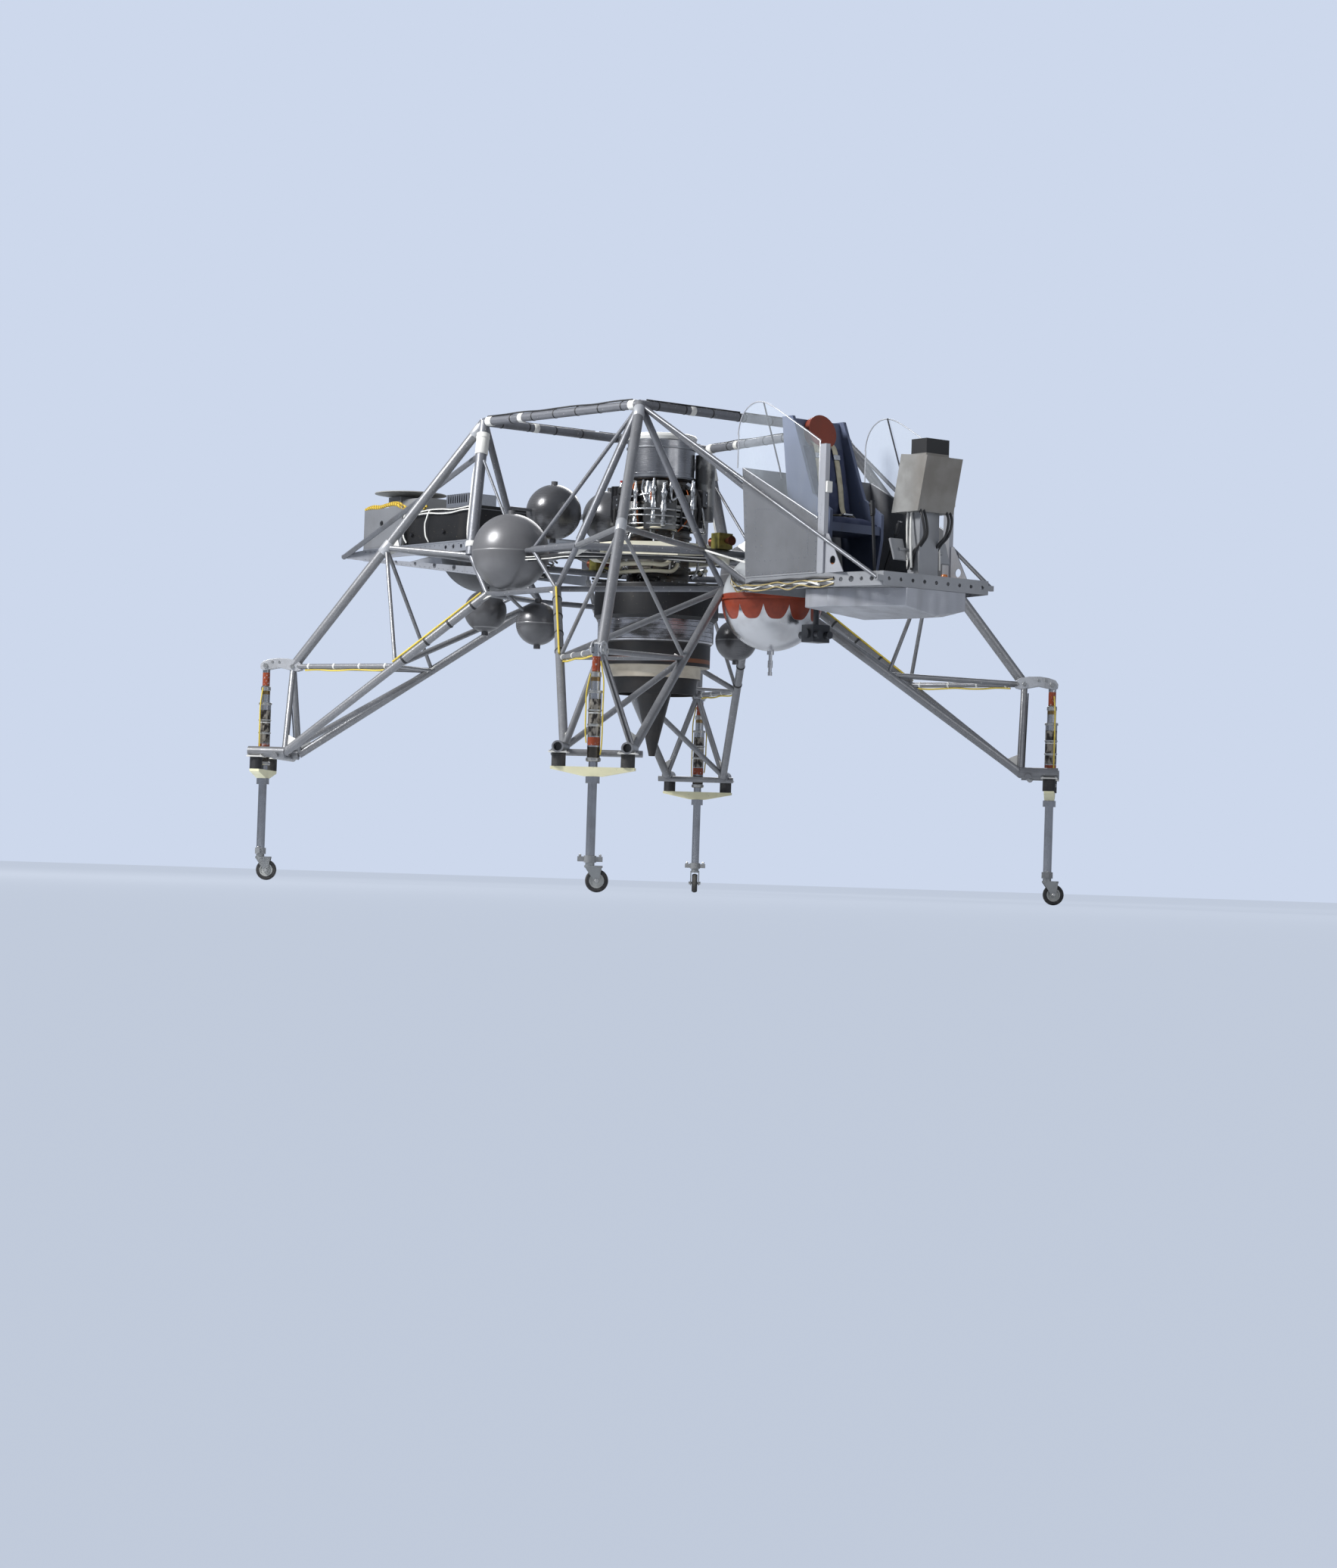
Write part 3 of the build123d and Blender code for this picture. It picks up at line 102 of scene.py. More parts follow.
class Finish:
    """A procedural material. Its node method takes a node's type, its settings, then its inputs."""

    def __init__(self, name):
        self.material = bpy.data.materials.new(name)
        self.material.use_nodes = True
        self.tree = self.material.node_tree
        self.tree.nodes.clear()
        self.place = self.node("TexCoord", out="Object")

    def node(self, kind, settings=(), inputs=(), out=0):
        made = self.tree.nodes.new("ShaderNode" + kind)
        for key, value in dict(settings).items():
            setattr(made, key, value)
        for key, value in dict(inputs).items():
            if isinstance(value, Value):
                self.tree.links.new(value.socket, made.inputs[key])
            else:
                made.inputs[key].default_value = value
        return Value(self, made.outputs[out])

    def axis(self, name):
        return self.node("SeparateXYZ", (), {0: self.place}, out=name)

    def noise(self, scale, stretch=(1, 1, 1), detail=3.0):
        """Soft noise from 0 to 1, about 0.5, stretched by a Mapping node."""
        spot = self.node("Mapping", (), {"Vector": self.place, "Scale": stretch})
        return self.node("TexNoise", (), {"Vector": spot, "Scale": scale, "Detail": detail})

    def mix(self, share, first, second):
        """One colour turning into the other by share."""
        return self.node("Mix", {"data_type": "RGBA"}, {0: share, 6: first, 7: second}, out=2)

    def done(self, colour, rough=0.5, metal=0.0, relief=None, depth=0.001, **fixed):
        """Ends the material in its shader; relief is a height that becomes a Bump node."""
        inputs = {"Base Color": colour, "Roughness": rough, "Metallic": metal}
        inputs.update({key.replace("_", " "): value for key, value in fixed.items()})
        if relief is not None:
            inputs["Normal"] = self.node("Bump", (), {"Height": relief, "Distance": depth, "Strength": 1.0})
        shader = self.node("BsdfPrincipled", (), inputs)
        self.node_output(shader)
        return self.material

    def node_output(self, shader):
        end = self.tree.nodes.new("ShaderNodeOutputMaterial")
        self.tree.links.new(shader.socket, end.inputs["Surface"])


def tint(red, green, blue):
    """A screen colour from 0 to 255, as the linear colour that a shader takes."""
    part = np.array([red, green, blue]) / 255
    linear = np.where(part <= 0.04045, part / 12.92, ((part + 0.055) / 1.055) ** 2.4)
    return (*linear.tolist(), 1.0)


def grid_mesh(name, grids, material, round_rows=False, round_columns=True, crease=35.0):
    """One mesh of several grids of points, each rows x columns x 3. Quads join neighbours; columns
    close round on themselves, rows do if they are a loop, and open ends of a round grid get a cap."""
    points, faces, first = [], [], 0
    for grid in grids:
        rows, columns = grid.shape[:2]
        index = first + np.arange(rows * columns).reshape(rows, columns)
        far = np.roll(index, -1, axis=0) if round_rows else index[1:]
        near = index if round_rows else index[:-1]
        if round_columns:
            quads = np.stack([near, np.roll(near, -1, 1), np.roll(far, -1, 1), far], axis=-1)
        else:
            quads = np.stack([near[:, :-1], near[:, 1:], far[:, 1:], far[:, :-1]], axis=-1)
        faces += quads.reshape(-1, 4).tolist()
        if round_columns and not round_rows:
            faces += [index[0, ::-1].tolist(), index[-1].tolist()]
        points.append(grid.reshape(-1, 3))
        first += rows * columns
    mesh = bpy.data.meshes.new(name)
    mesh.from_pydata(np.vstack(points).tolist(), [], faces)
    mesh.shade_smooth()
    mesh.set_sharp_from_angle(angle=np.radians(crease))
    piece = bpy.data.objects.new(name, mesh)
    scene.collection.objects.link(piece)
    mesh.materials.append(material)
    return piece


def fit(piece, body):
    """The finished piece rides on its body."""
    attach(piece, body)
    return piece


# A square sheet of points, one row and one column of quads, makes the floor.
reach = np.array([-90.0, 90.0])
floor_grid = np.stack([*np.meshgrid(reach, reach), np.zeros((2, 2))], axis=-1)
floor_paint = Finish("studio_floor")
floor_grain = floor_paint.noise(3.0)
floor_tone = floor_paint.mix(floor_grain, tint(214, 219, 226), tint(222, 226, 232))
lit_floor = floor_paint.node("BsdfDiffuse", (), {"Color": floor_tone})
plain_floor = floor_paint.node("Emission", (), {"Color": tint(197, 207, 224), "Strength": 1.0})
seen_by_camera = floor_paint.node("LightPath", out="Is Camera Ray")
floor_paint.node_output(floor_paint.node("MixShader", (),
                                         {0: seen_by_camera * 0.93, 1: lit_floor, 2: plain_floor}))
floor = grid_mesh("floor", [floor_grid], floor_paint.material, round_columns=False)

world = bpy.data.worlds.new("studio")
scene.world = world
world.use_nodes = True
sky = world.node_tree
sky.nodes.clear()
seen = sky.nodes.new("ShaderNodeLightPath")
seen_either = sky.nodes.new("ShaderNodeMath")
seen_either.operation = "MAXIMUM"
sky.links.new(seen.outputs["Is Camera Ray"], seen_either.inputs[0])
sky.links.new(seen.outputs["Is Transmission Ray"], seen_either.inputs[1])
seen_any = sky.nodes.new("ShaderNodeMath")
seen_any.operation = "MAXIMUM"
sky.links.new(seen_either.outputs[0], seen_any.inputs[0])
glossy_share = sky.nodes.new("ShaderNodeMath")
glossy_share.operation = "MULTIPLY"
glossy_share.inputs[1].default_value = 0.3
sky.links.new(seen.outputs["Is Glossy Ray"], glossy_share.inputs[0])
sky.links.new(glossy_share.outputs[0], seen_any.inputs[1])
backdrop = sky.nodes.new("ShaderNodeBackground")
backdrop.inputs["Color"].default_value = tint(205, 216, 236)
backdrop.inputs["Strength"].default_value = 1.0
ambient = sky.nodes.new("ShaderNodeBackground")
ambient.inputs["Color"].default_value = tint(232, 238, 250)
ambient.inputs["Strength"].default_value = 0.27
either = sky.nodes.new("ShaderNodeMixShader")
sky.links.new(seen_any.outputs[0], either.inputs[0])
sky.links.new(ambient.outputs[0], either.inputs[1])
sky.links.new(backdrop.outputs[0], either.inputs[2])
sky_end = sky.nodes.new("ShaderNodeOutputWorld")
sky.links.new(either.outputs[0], sky_end.inputs["Surface"])

soft_boxes = [
    # name, spot, side in metres, watts
    ("key_lamp", (-1.5, -10.0, 9.0), 3.0, 2100),
    ("fill_lamp", (11.0, 1.0, 5.0), 6.0, 170),
    ("back_lamp", (-8.0, 8.0, 8.0), 5.0, 500),
]
for name, spot, side, watts in soft_boxes:
    lamp = bpy.data.lights.new(name, "AREA")
    lamp.shape = "SQUARE"
    lamp.size = side
    lamp.energy = watts
    holder = bpy.data.objects.new(name, lamp)
    scene.collection.objects.link(holder)
    toward = np.array([0.3, 0.0, 1.9]) - spot
    holder.location = spot
    holder.rotation_euler = (
        np.arctan2(np.hypot(toward[0], toward[1]), -toward[2]),
        0.0,
        np.arctan2(-toward[0], toward[1]),
    )

# ---- Frame tubes ----
# Welded light-alloy and steel tubes with a brushed-on aluminium paint, dulled by soot near the
# engine and rubbed where the crew climb. The lower frame is a grey, the legs a brighter silver.
engine_x = 0.325


def tube_paint(name, colour, rough, metal, soot):
    """Aluminium paint: long brush marks, mottled gloss, sparse chips and soot in soft patches."""
    paint = Finish(name)
    patch = paint.noise(2.3, detail=4.0)
    mottle = paint.noise(21.0, detail=4.0)
    brush = paint.noise(260.0, (1, 1, 0.06), 1.0)
    chip = paint.noise(75.0, detail=2.0).step(0.69, 0.72)
    body_tone = paint.mix(mottle.step(0.3, 0.7) * 0.35, colour, tuple(0.72 * c for c in colour[:3]) + (1,))
    dirty = paint.mix(patch.step(0.5, 0.75) * soot, body_tone, tint(70, 66, 60))
    chipped = paint.mix(chip * 0.6, dirty, tint(205, 205, 200))
    roughness = rough + (mottle - 0.5) * 0.22 + patch.step(0.5, 0.8) * 0.12
    return paint.done(chipped, roughness, metal, brush * 0.5 + mottle * 0.5 - chip * 0.5, 0.0012)


leg_silver = tube_paint("leg_silver", tint(132, 133, 136), 0.34, 0.45, 0.4)
frame_grey = tube_paint("frame_grey", tint(112, 114, 119), 0.36, 0.4, 0.45)
ring_grey = tube_paint("ring_grey", tint(116, 118, 124), 0.4, 0.3, 0.4)


def dress(material, *names):
    """Gives CAD nodes their material."""
    for name in names:
        slots = nodes[name].data.materials
        slots.clear()
        slots.append(material)


leg_names = [f"{end}_{side}" for end in ("front", "rear") for side in ("port", "starboard")]
dress(leg_silver, "leg_arms", *[f"leg_truss_{leg}" for leg in leg_names])
dress(frame_grey, "centre_frame", "carrier_struts", "cockpit_struts", "platform_struts", "gimbal_bearings")
dress(ring_grey, "top_ring", "centre_posts")


def enamel(name, colour, rough=0.42, shade=0.12, grime=0.25, metal=0.0, soot=(78, 72, 62)):
    """Sprayed enamel: a faint orange peel, grime that gathers in soft patches and runs down,
    and a few chips to the primer."""
    paint = Finish(name)
    cloud = paint.noise(3.1, detail=4.0)
    run = paint.noise(14.0, (1, 1, 0.12), 3.0)
    peel = paint.noise(420.0, detail=1.0)
    chip = paint.noise(58.0, detail=2.0).step(0.715, 0.74)
    darker = tuple((1 - shade) * c for c in colour[:3]) + (1,)
    tone = paint.mix(cloud.step(0.35, 0.65), colour, darker)
    stained = paint.mix(run.step(0.52, 0.78) * cloud.step(0.35, 0.7) * grime, tone, tint(*soot))
    chipped = paint.mix(chip * 0.5, stained, tint(120, 112, 96))
    roughness = rough + (run - 0.5) * 0.2 + (peel - 0.5) * 0.06
    return paint.done(chipped, roughness, metal, peel * 0.35 + cloud * 0.3 - chip * 0.6, 0.0008)


def bare_metal(name, colour, rough=0.25, brush=(1, 1, 0.03), stain=0.25):
    """Worked metal: fine tool marks along one way, a faint tarnish and a few deeper scratches."""
    metal = Finish(name)
    marks = metal.noise(330.0, brush, 2.0)
    tarnish = metal.noise(5.0, detail=4.0)
    scratch = metal.noise(90.0, (1, 0.08, 1), 1.0).step(0.66, 0.7)
    tone = metal.mix(tarnish.step(0.45, 0.75) * stain, colour, tint(120, 116, 112))
    roughness = rough + (marks - 0.5) * 0.18 + tarnish.step(0.4, 0.8) * 0.12 + scratch * 0.1
    return metal.done(tone, roughness, 1.0, marks * 0.6 + scratch * 0.4, 0.0004)


# ---- Leg heads and saddle plates ----
# Forged heads in white enamel, from each upper chord to the top of its strut. At each leg's foot
# a white saddle plate is welded under each arm tube and bolted down on its rubber block.
head_white = enamel("head_white", tint(214, 213, 208), 0.4, 0.08, 0.35)
head_silver = enamel("head_silver", tint(184, 186, 190), 0.34, 0.14, 0.4, 0.4)
dress(head_silver, "leg_heads")
leg_span = 2.03
leg_rows = [
    # name, ahead or behind, port or starboard, which way its caster trails in degrees
    ("front_port", 1, 1, 52),
    ("front_starboard", 1, -1, 52),
    ("rear_port", -1, 1, -38),
    ("rear_starboard", -1, -1, 52),
]


def leg_point(ahead, aside, outward, sideways, height):
    """A point by its distance outward from a leg's strut axis, sideways to it, and its height."""
    out = np.array([ahead, aside, 0.0]) / np.sqrt(2)
    along = np.array([-ahead, aside, 0.0]) / np.sqrt(2)
    foot = np.array([engine_x + ahead * leg_span, aside * leg_span, 0.0])
    height = np.asarray(height, float)[..., None] * np.array([0.0, 0.0, 1.0])
    return foot + np.asarray(outward)[..., None] * out + np.asarray(sideways)[..., None] * along + height


def frame_along(path):
    """The directions of a path of points, and two across it that turn as little as they can."""
    run = np.gradient(path, axis=0)
    run /= np.linalg.norm(run, axis=1)[:, None]
    across = np.zeros_like(run)
    side = np.cross(run[0], np.eye(3)[np.argmin(np.abs(run[0]))])
    for row in range(len(run)):
        side = side - run[row] * (side @ run[row])
        side /= np.linalg.norm(side)
        across[row] = side
    return across, np.cross(run, across)


def tube(path, radius, sides=10):
    """A round section carried along a path: centre + radius (cos across + sin over)."""
    path = np.asarray(path, float)
    across, over = frame_along(path)
    angle = np.linspace(0, 2 * np.pi, sides, endpoint=False)
    size = np.broadcast_to(np.asarray(radius, float), len(path))[:, None, None]
    circle = np.cos(angle)[None, :, None] * across[:, None] + np.sin(angle)[None, :, None] * over[:, None]
    return path[:, None] + size * circle


def studs(spots, way, radius, height, sides=6):
    """Bolt heads or nuts at the spots: a short prism along way, with a chamfered top."""
    way = np.asarray(way, float) / np.linalg.norm(way)
    rise = np.array([-0.3, 0.75, 1.0])[:, None] * height * way
    widths = np.array([1.0, 1.0, 0.82]) * radius
    return [tube(np.asarray(spot) + rise, widths, sides) for spot in spots]


def brick(centre, size, yaw=0.0, pitch=0.0):
    """A rectangular block as two rows of four corners, turned about Z and then tipped about its Y."""
    turn = np.array([[np.cos(yaw), -np.sin(yaw), 0], [np.sin(yaw), np.cos(yaw), 0], [0, 0, 1.0]])
    tip = np.array([[np.cos(pitch), 0, np.sin(pitch)], [0, 1, 0], [-np.sin(pitch), 0, np.cos(pitch)]])
    flat = np.array([[-1, -1], [1, -1], [1, 1], [-1, 1]]) / 2 * np.asarray(size[:2])
    rows = [np.column_stack([flat, np.full(4, z)]) for z in (-size[2] / 2, size[2] / 2)]
    return np.asarray(centre) + np.array(rows) @ (turn @ tip).T


def soften(piece, width, segments=2):
    """A live Bevel that rounds a piece's edges."""
    bevel = piece.modifiers.new("bevel", "BEVEL")
    bevel.width = width
    bevel.segments = segments
    bevel.limit_method = "ANGLE"
    return piece


# Each head is a yoke: two profiled cheek plates and a ribbed web between them, tied by bolts.
head_outline = np.array([
    # outward from the strut's axis, up from the strut's top
    (-0.268, -0.026), (-0.262, 0.024), (-0.235, 0.044), (-0.17, 0.056), (-0.09, 0.058), (-0.03, 0.05),
    (0.02, 0.034),
    (0.04, 0.008), (0.038, -0.022), (0.016, -0.034), (-0.03, -0.026), (-0.1, -0.012), (-0.17, -0.026),
    (-0.23, -0.036),
])
strut_top = 1.57
cheeks, webs_between, head_bolts = [], [], []
for name, ahead, aside, trail in leg_rows:
    for low, high, scale in ((-0.037, -0.027, 1.0), (0.027, 0.037, 1.0), (-0.0275, 0.0275, 0.86)):
        shape = head_outline * [scale, scale] + [-0.014 * (1 - scale) / 0.14, 0.0]
        rows = [leg_point(ahead, aside, shape[:, 0], np.full(len(shape), y), strut_top + shape[:, 1])
                for y in (low, high)]
        (cheeks if scale == 1.0 else webs_between).append(np.array(rows))
    across = leg_point(ahead, aside, 0, 1, 0) - leg_point(ahead, aside, 0, 0, 0)
    for out, up, size in ((0.0, 0.0, 0.019), (-0.2, 0.0, 0.016), (-0.1, 0.03, 0.009), (-0.245, 0.0, 0.008),
                          (-0.05, 0.03, 0.009)):
        for side in (-1, 1):
            spot = leg_point(ahead, aside, out, side * 0.037, strut_top + up)
            head_bolts += studs([spot], side * across, size, 0.012 if size > 0.01 else 0.006)
head_yokes = soften(grid_mesh("head_yokes", cheeks + webs_between, head_silver), 0.003)
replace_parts(fit(head_yokes, "airframe"), "leg_heads")
bolt_steel = bare_metal("bolt_steel", tint(178, 178, 176), 0.3)
fit(grid_mesh("head_bolts", head_bolts, bolt_steel), "airframe")

arm_spread = 0.226
block_top = 0.8929
saddles, saddle_bolts = [], []
for name, ahead, aside, trail in leg_rows:
    heading = np.arctan2(aside, ahead)
    for side in (-1, 1):
        saddles.append(brick(leg_point(ahead, aside, 0, side * arm_spread, block_top + 0.0045),
                             (0.118, 0.124, 0.009), heading))
        corners = leg_point(ahead, aside, np.array([-1, 1, 1, -1]) * 0.046,
                            side * arm_spread + np.array([-1, -1, 1, 1]) * 0.05,
                            np.full(4, block_top + 0.0095))
        saddle_bolts += studs(corners, (0, 0, 1), 0.008, 0.007)
fit(soften(grid_mesh("saddle_plates", saddles, head_white), 0.002), "airframe")
fit(grid_mesh("saddle_bolts", saddle_bolts, bolt_steel), "airframe")

# ---- Shock struts ----
# A chromed piston below, an anodised cylinder with dark and silver bands above, orange bands at
# the cylinder's foot and on the rod, and a collar that holds the caster's bearing.
strut_finish = Finish("strut_finish")
height = strut_finish.axis("Z")
tool_marks = strut_finish.noise(420.0, (1, 1, 0.05), 2.0)
smear = strut_finish.noise(11.0, detail=4.0)
steel_tone = strut_finish.mix(smear.step(0.4, 0.75) * 0.3, tint(176, 178, 182), tint(104, 100, 96))
grime = strut_finish.noise(38.0, (1, 1, 0.5), 4.0)
sleeve_tone = strut_finish.mix(grime.step(0.42, 0.58), tint(150, 144, 134), tint(52, 48, 46))
banded = strut_finish.mix(height.within(1.005, 1.245), steel_tone, sleeve_tone)
banded = strut_finish.mix(height.within(1.068, 1.08) + height.within(1.15, 1.158), banded,
                          tint(214, 214, 210))
banded = strut_finish.mix(height.within(0.84, 0.935), banded, tint(86, 82, 76))
banded = strut_finish.mix(height.within(1.36, 1.425), banded, tint(140, 118, 84))
lacquer = height.within(0.945, 0.998) + height.within(1.425, 1.52)
orange_chip = 1 - strut_finish.noise(60.0).step(0.6, 0.66) * 0.7
banded = strut_finish.mix(lacquer * orange_chip, banded, tint(138, 64, 38))
collar_paint = height.within(0.1, 0.236)
banded = strut_finish.mix(collar_paint, banded, tint(128, 130, 132))
shine = 0.1 + smear * 0.1 + (tool_marks - 0.5) * 0.12 + height.step(0.83, 0.85) * 0.1 + collar_paint * 0.25
plain = 1 - (lacquer + collar_paint + height.within(1.005, 1.24) * 0.6) * 0.85
strut_finish.done(banded, shine, plain, tool_marks, 0.0003)
dress(strut_finish.material, "shock_struts")


def smooth(points, steps=8):
    """A smooth line through points: on each run the cubic whose ends lean along their neighbours."""
    p = np.asarray(points, float)
    p = np.vstack([2 * p[0] - p[1], p, 2 * p[-1] - p[-2]])
    t = np.linspace(0, 1, steps, endpoint=False)[None, :, None]
    a, b, c, d = (p[i:len(p) - 3 + i, None] for i in range(4))
    line = b + 0.5 * ((c - a) * t + (2 * a - 5 * b + 4 * c - d) * t**2 + (3 * b - a - 3 * c + d) * t**3)
    return np.vstack([line.reshape(-1, p.shape[1]), p[-2]])


def lathe(profile, centre, sides=48):
    """A profile of (radius, height) pairs turned about an upright axis through centre."""
    profile = np.asarray(profile, float)
    angle = np.linspace(0, 2 * np.pi, sides, endpoint=False)
    ring = np.stack([np.cos(angle), np.sin(angle), np.zeros(sides)], axis=-1)
    rise = profile[:, 1][:, None, None] * np.array([0.0, 0.0, 1.0])
    return np.asarray(centre, float) + profile[:, 0][:, None, None] * ring + rise


def band_profile(inner, outer, low, high):
    """The closed section of a band, up its outside and down its inside."""
    edge = (high - low) * 0.15
    return [(outer - edge, low), (outer, low + edge), (outer, high - edge), (outer - edge, high),
            (inner, high), (inner, low)]


strut_clamps, strut_lines, collar_bolts = [], [], []
for name, ahead, aside, trail in leg_rows:
    axis = leg_point(ahead, aside, 0, 0, 0)
    for low, high, outer in ((0.842, 0.866, 0.049), (1.072, 1.084, 0.0465), (1.165, 1.177, 0.0465),
                             (1.282, 1.3, 0.048)):
        strut_clamps.append(lathe(band_profile(0.0405, outer, low, high), axis, 28))
    strut_clamps.append(lathe(band_profile(0.026, 0.036, 1.385, 1.42), axis, 24))
    for side, top, foot, bulge in ((-1, 1.49, 0.885, 0.056), (1, 1.41, 0.96, 0.055)):
        heights = np.array([top, top - 0.06, top - 0.14, 0.5 * (top + foot), foot + 0.12, foot + 0.04,
                            foot])
        reaches = np.array([0.032, 0.044, bulge, bulge, bulge, bulge - 0.004, 0.046])
        line = leg_point(ahead, aside, reaches * 0.45, side * reaches, heights)
        strut_lines.append(tube(smooth(line, 6), 0.0048, 8))
    lugs = leg_point(ahead, aside, np.zeros(2), np.array([-0.066, 0.066]), np.full(2, 0.232))
    collar_bolts += studs(lugs, (0, 0, 1), 0.009, 0.012)
fit(grid_mesh("strut_clamps", strut_clamps, bolt_steel, round_rows=True), "airframe")
fit(grid_mesh("collar_bolts", collar_bolts, bolt_steel), "airframe")
hose_yellow = enamel("hose_yellow", tint(214, 190, 74), 0.5, 0.15, 0.35)
fit(grid_mesh("strut_lines", strut_lines, hose_yellow), "airframe")

# ---- Spreader beams and rubber blocks ----
# A tapered beam in cream enamel crosses each strut above its nut, and a pair of black rubber
# blocks between the beam and the arm tubes takes the landing shock.
dress(enamel("beam_cream", tint(228, 224, 188), 0.45, 0.1, 0.3), "spreader_beams")


def rubber(name, colour, rough=0.72, rings=0.0):
    """Black rubber: a dusty bloom, fine pores and, on the blocks, faint moulding rings."""
    mass = Finish(name)
    bloom = mass.noise(9.0, detail=4.0)
    pore = mass.noise(500.0, detail=1.0)
    ring_lines = mass.axis("Z").wave(0.012) * rings
    tone = mass.mix(bloom.step(0.4, 0.75) * 0.5, colour, tint(72, 70, 68))
    return mass.done(tone, rough + (bloom - 0.5) * 0.2, 0.0, pore * 0.3 + ring_lines + bloom * 0.3, 0.0008)


dress(rubber("block_rubber", tint(24, 24, 26), 0.6, 1.0), "rubber_blocks")

# ---- Casters ----
# A zinc-plated trailing fork, a hub in grey enamel with a pressed rim, and a solid dark tyre with
# two mould lines. Each turns round its own axle, whose ends carry nuts.
dress(bare_metal("caster_zinc", tint(150, 152, 152), 0.38, (1, 1, 0.4), 0.5),
      *[f"caster_fork_{leg}" for leg in leg_names])
dress(enamel("hub_grey", tint(168, 170, 168), 0.4, 0.12, 0.45), *[f"wheel_hub_{leg}" for leg in leg_names])
wheel_radius, caster_trail = 0.075, 0.047


def tyre_rubber(name, centre, axle):
    """Dark tread rubber, greyed with dust: its distance from the axle makes the shoulder lines."""
    mass = Finish("tyre_" + name)
    offset = mass.node("VectorMath", {"operation": "SUBTRACT"}, {0: mass.place, 1: tuple(centre)})
    across = mass.node("VectorMath", {"operation": "DOT_PRODUCT"}, {0: offset, 1: tuple(axle)}, out="Value")
    length = mass.node("VectorMath", {"operation": "LENGTH"}, {0: offset}, out="Value")
    around = (length * length - across * across) ** 0.5
    dust = mass.noise(30.0, detail=4.0)
    groove = tread_groove(across)
    scuff = around.step(0.0715, 0.0745) * 0.5 + dust.step(0.35, 0.7) * 0.35
    tone = mass.mix(scuff, tint(30, 30, 32), tint(84, 82, 78))
    line = around.within(0.058, 0.0595) + around.within(0.0655, 0.067)
    return mass.done(tone, 0.7 + (dust - 0.5) * 0.2, 0.0, dust * 0.3 - line - groove, 0.0012)


def tread_groove(across):
    """Two grooves round the tread, 9 mm to each side of its middle."""
    return across.within(-0.0105, -0.0085) + across.within(0.0085, 0.0105)


for name, ahead, aside, trail in leg_rows:
    way = np.array([np.cos(np.radians(trail)), np.sin(np.radians(trail)), 0.0])
    axle = np.array([-way[1], way[0], 0.0])
    centre = leg_point(ahead, aside, 0, 0, wheel_radius) + way * caster_trail
    dress(tyre_rubber(name, centre, axle), f"tyre_{name}")
    nuts = studs([centre + axle * 0.040], axle, 0.0135, 0.008) + studs([centre - axle * 0.040], -axle,
                                                                       0.0135, 0.008)
    fit(grid_mesh(f"axle_nuts_{name}", nuts, bolt_steel), f"caster_{name}")

# ---- Frame fittings, straps and lines ----
# White cast boots stand at the top joints and thin gusset plates at the lower ones. Black and
# white straps bind cables to the top ring, and yellow hoses are clipped along the leg tubes.
ring_ends = {1: (0.908, 0.893, 3.37), -1: (-0.779, 1.026, 3.37)}
low_side_ends = {1: (0.42, 1.2, 2.09), -1: (-0.42, 1.2, 2.09)}
low_ends = {1: (1.09, 0.255, 2.13), -1: (-1.09, 0.255, 2.13)}
mid_side_ends = {1: (0.645, 1.2, 2.38), -1: (-0.645, 1.2, 2.38)}
mid_ends = {1: (1.09, 0.43, 2.38), -1: (-1.09, 0.43, 2.38)}


def frame_point(ends, ahead, aside):
    """A joint of the centre frame, by its table, ahead or behind, port or starboard."""
    x, y, z = ends[ahead]
    return np.array([engine_x + x, y * aside, z])


def part_way(start, end, share):
    """The point or points at a share of the way between two points."""
    share = np.asarray(share, float)[..., None]
    return np.asarray(start) * (1 - share) + np.asarray(end) * share


def unit(way):
    """A direction of length one."""
    way = np.asarray(way, float)
    return way / np.linalg.norm(way)


def gusset(corner, first, second, size, wall=0.006):
    """A clipped triangular plate in a corner: five corners of it on each of its two faces."""
    one, two = unit(first - corner), unit(second - corner)
    across = unit(np.cross(one, two)) * wall / 2
    reaches = np.array([[0.0, 0.0], [1.0, 0.0], [1.0, 0.12], [0.12, 1.0], [0.0, 1.0]]) * size
    flat = corner + reaches[:, :1] * one + reaches[:, 1:] * two
    return np.array([flat - across, flat + across])


def sleeve(start, end, low, high, radius, sides=20):
    """A short collar round a tube, from low to high metres along it, with rolled edges."""
    way = unit(np.asarray(end) - start)
    along = np.array([low, low + 0.003, high - 0.003, high])
    return tube(start + along[:, None] * way, np.array([radius - 0.002, radius, radius, radius - 0.002]),
                sides)


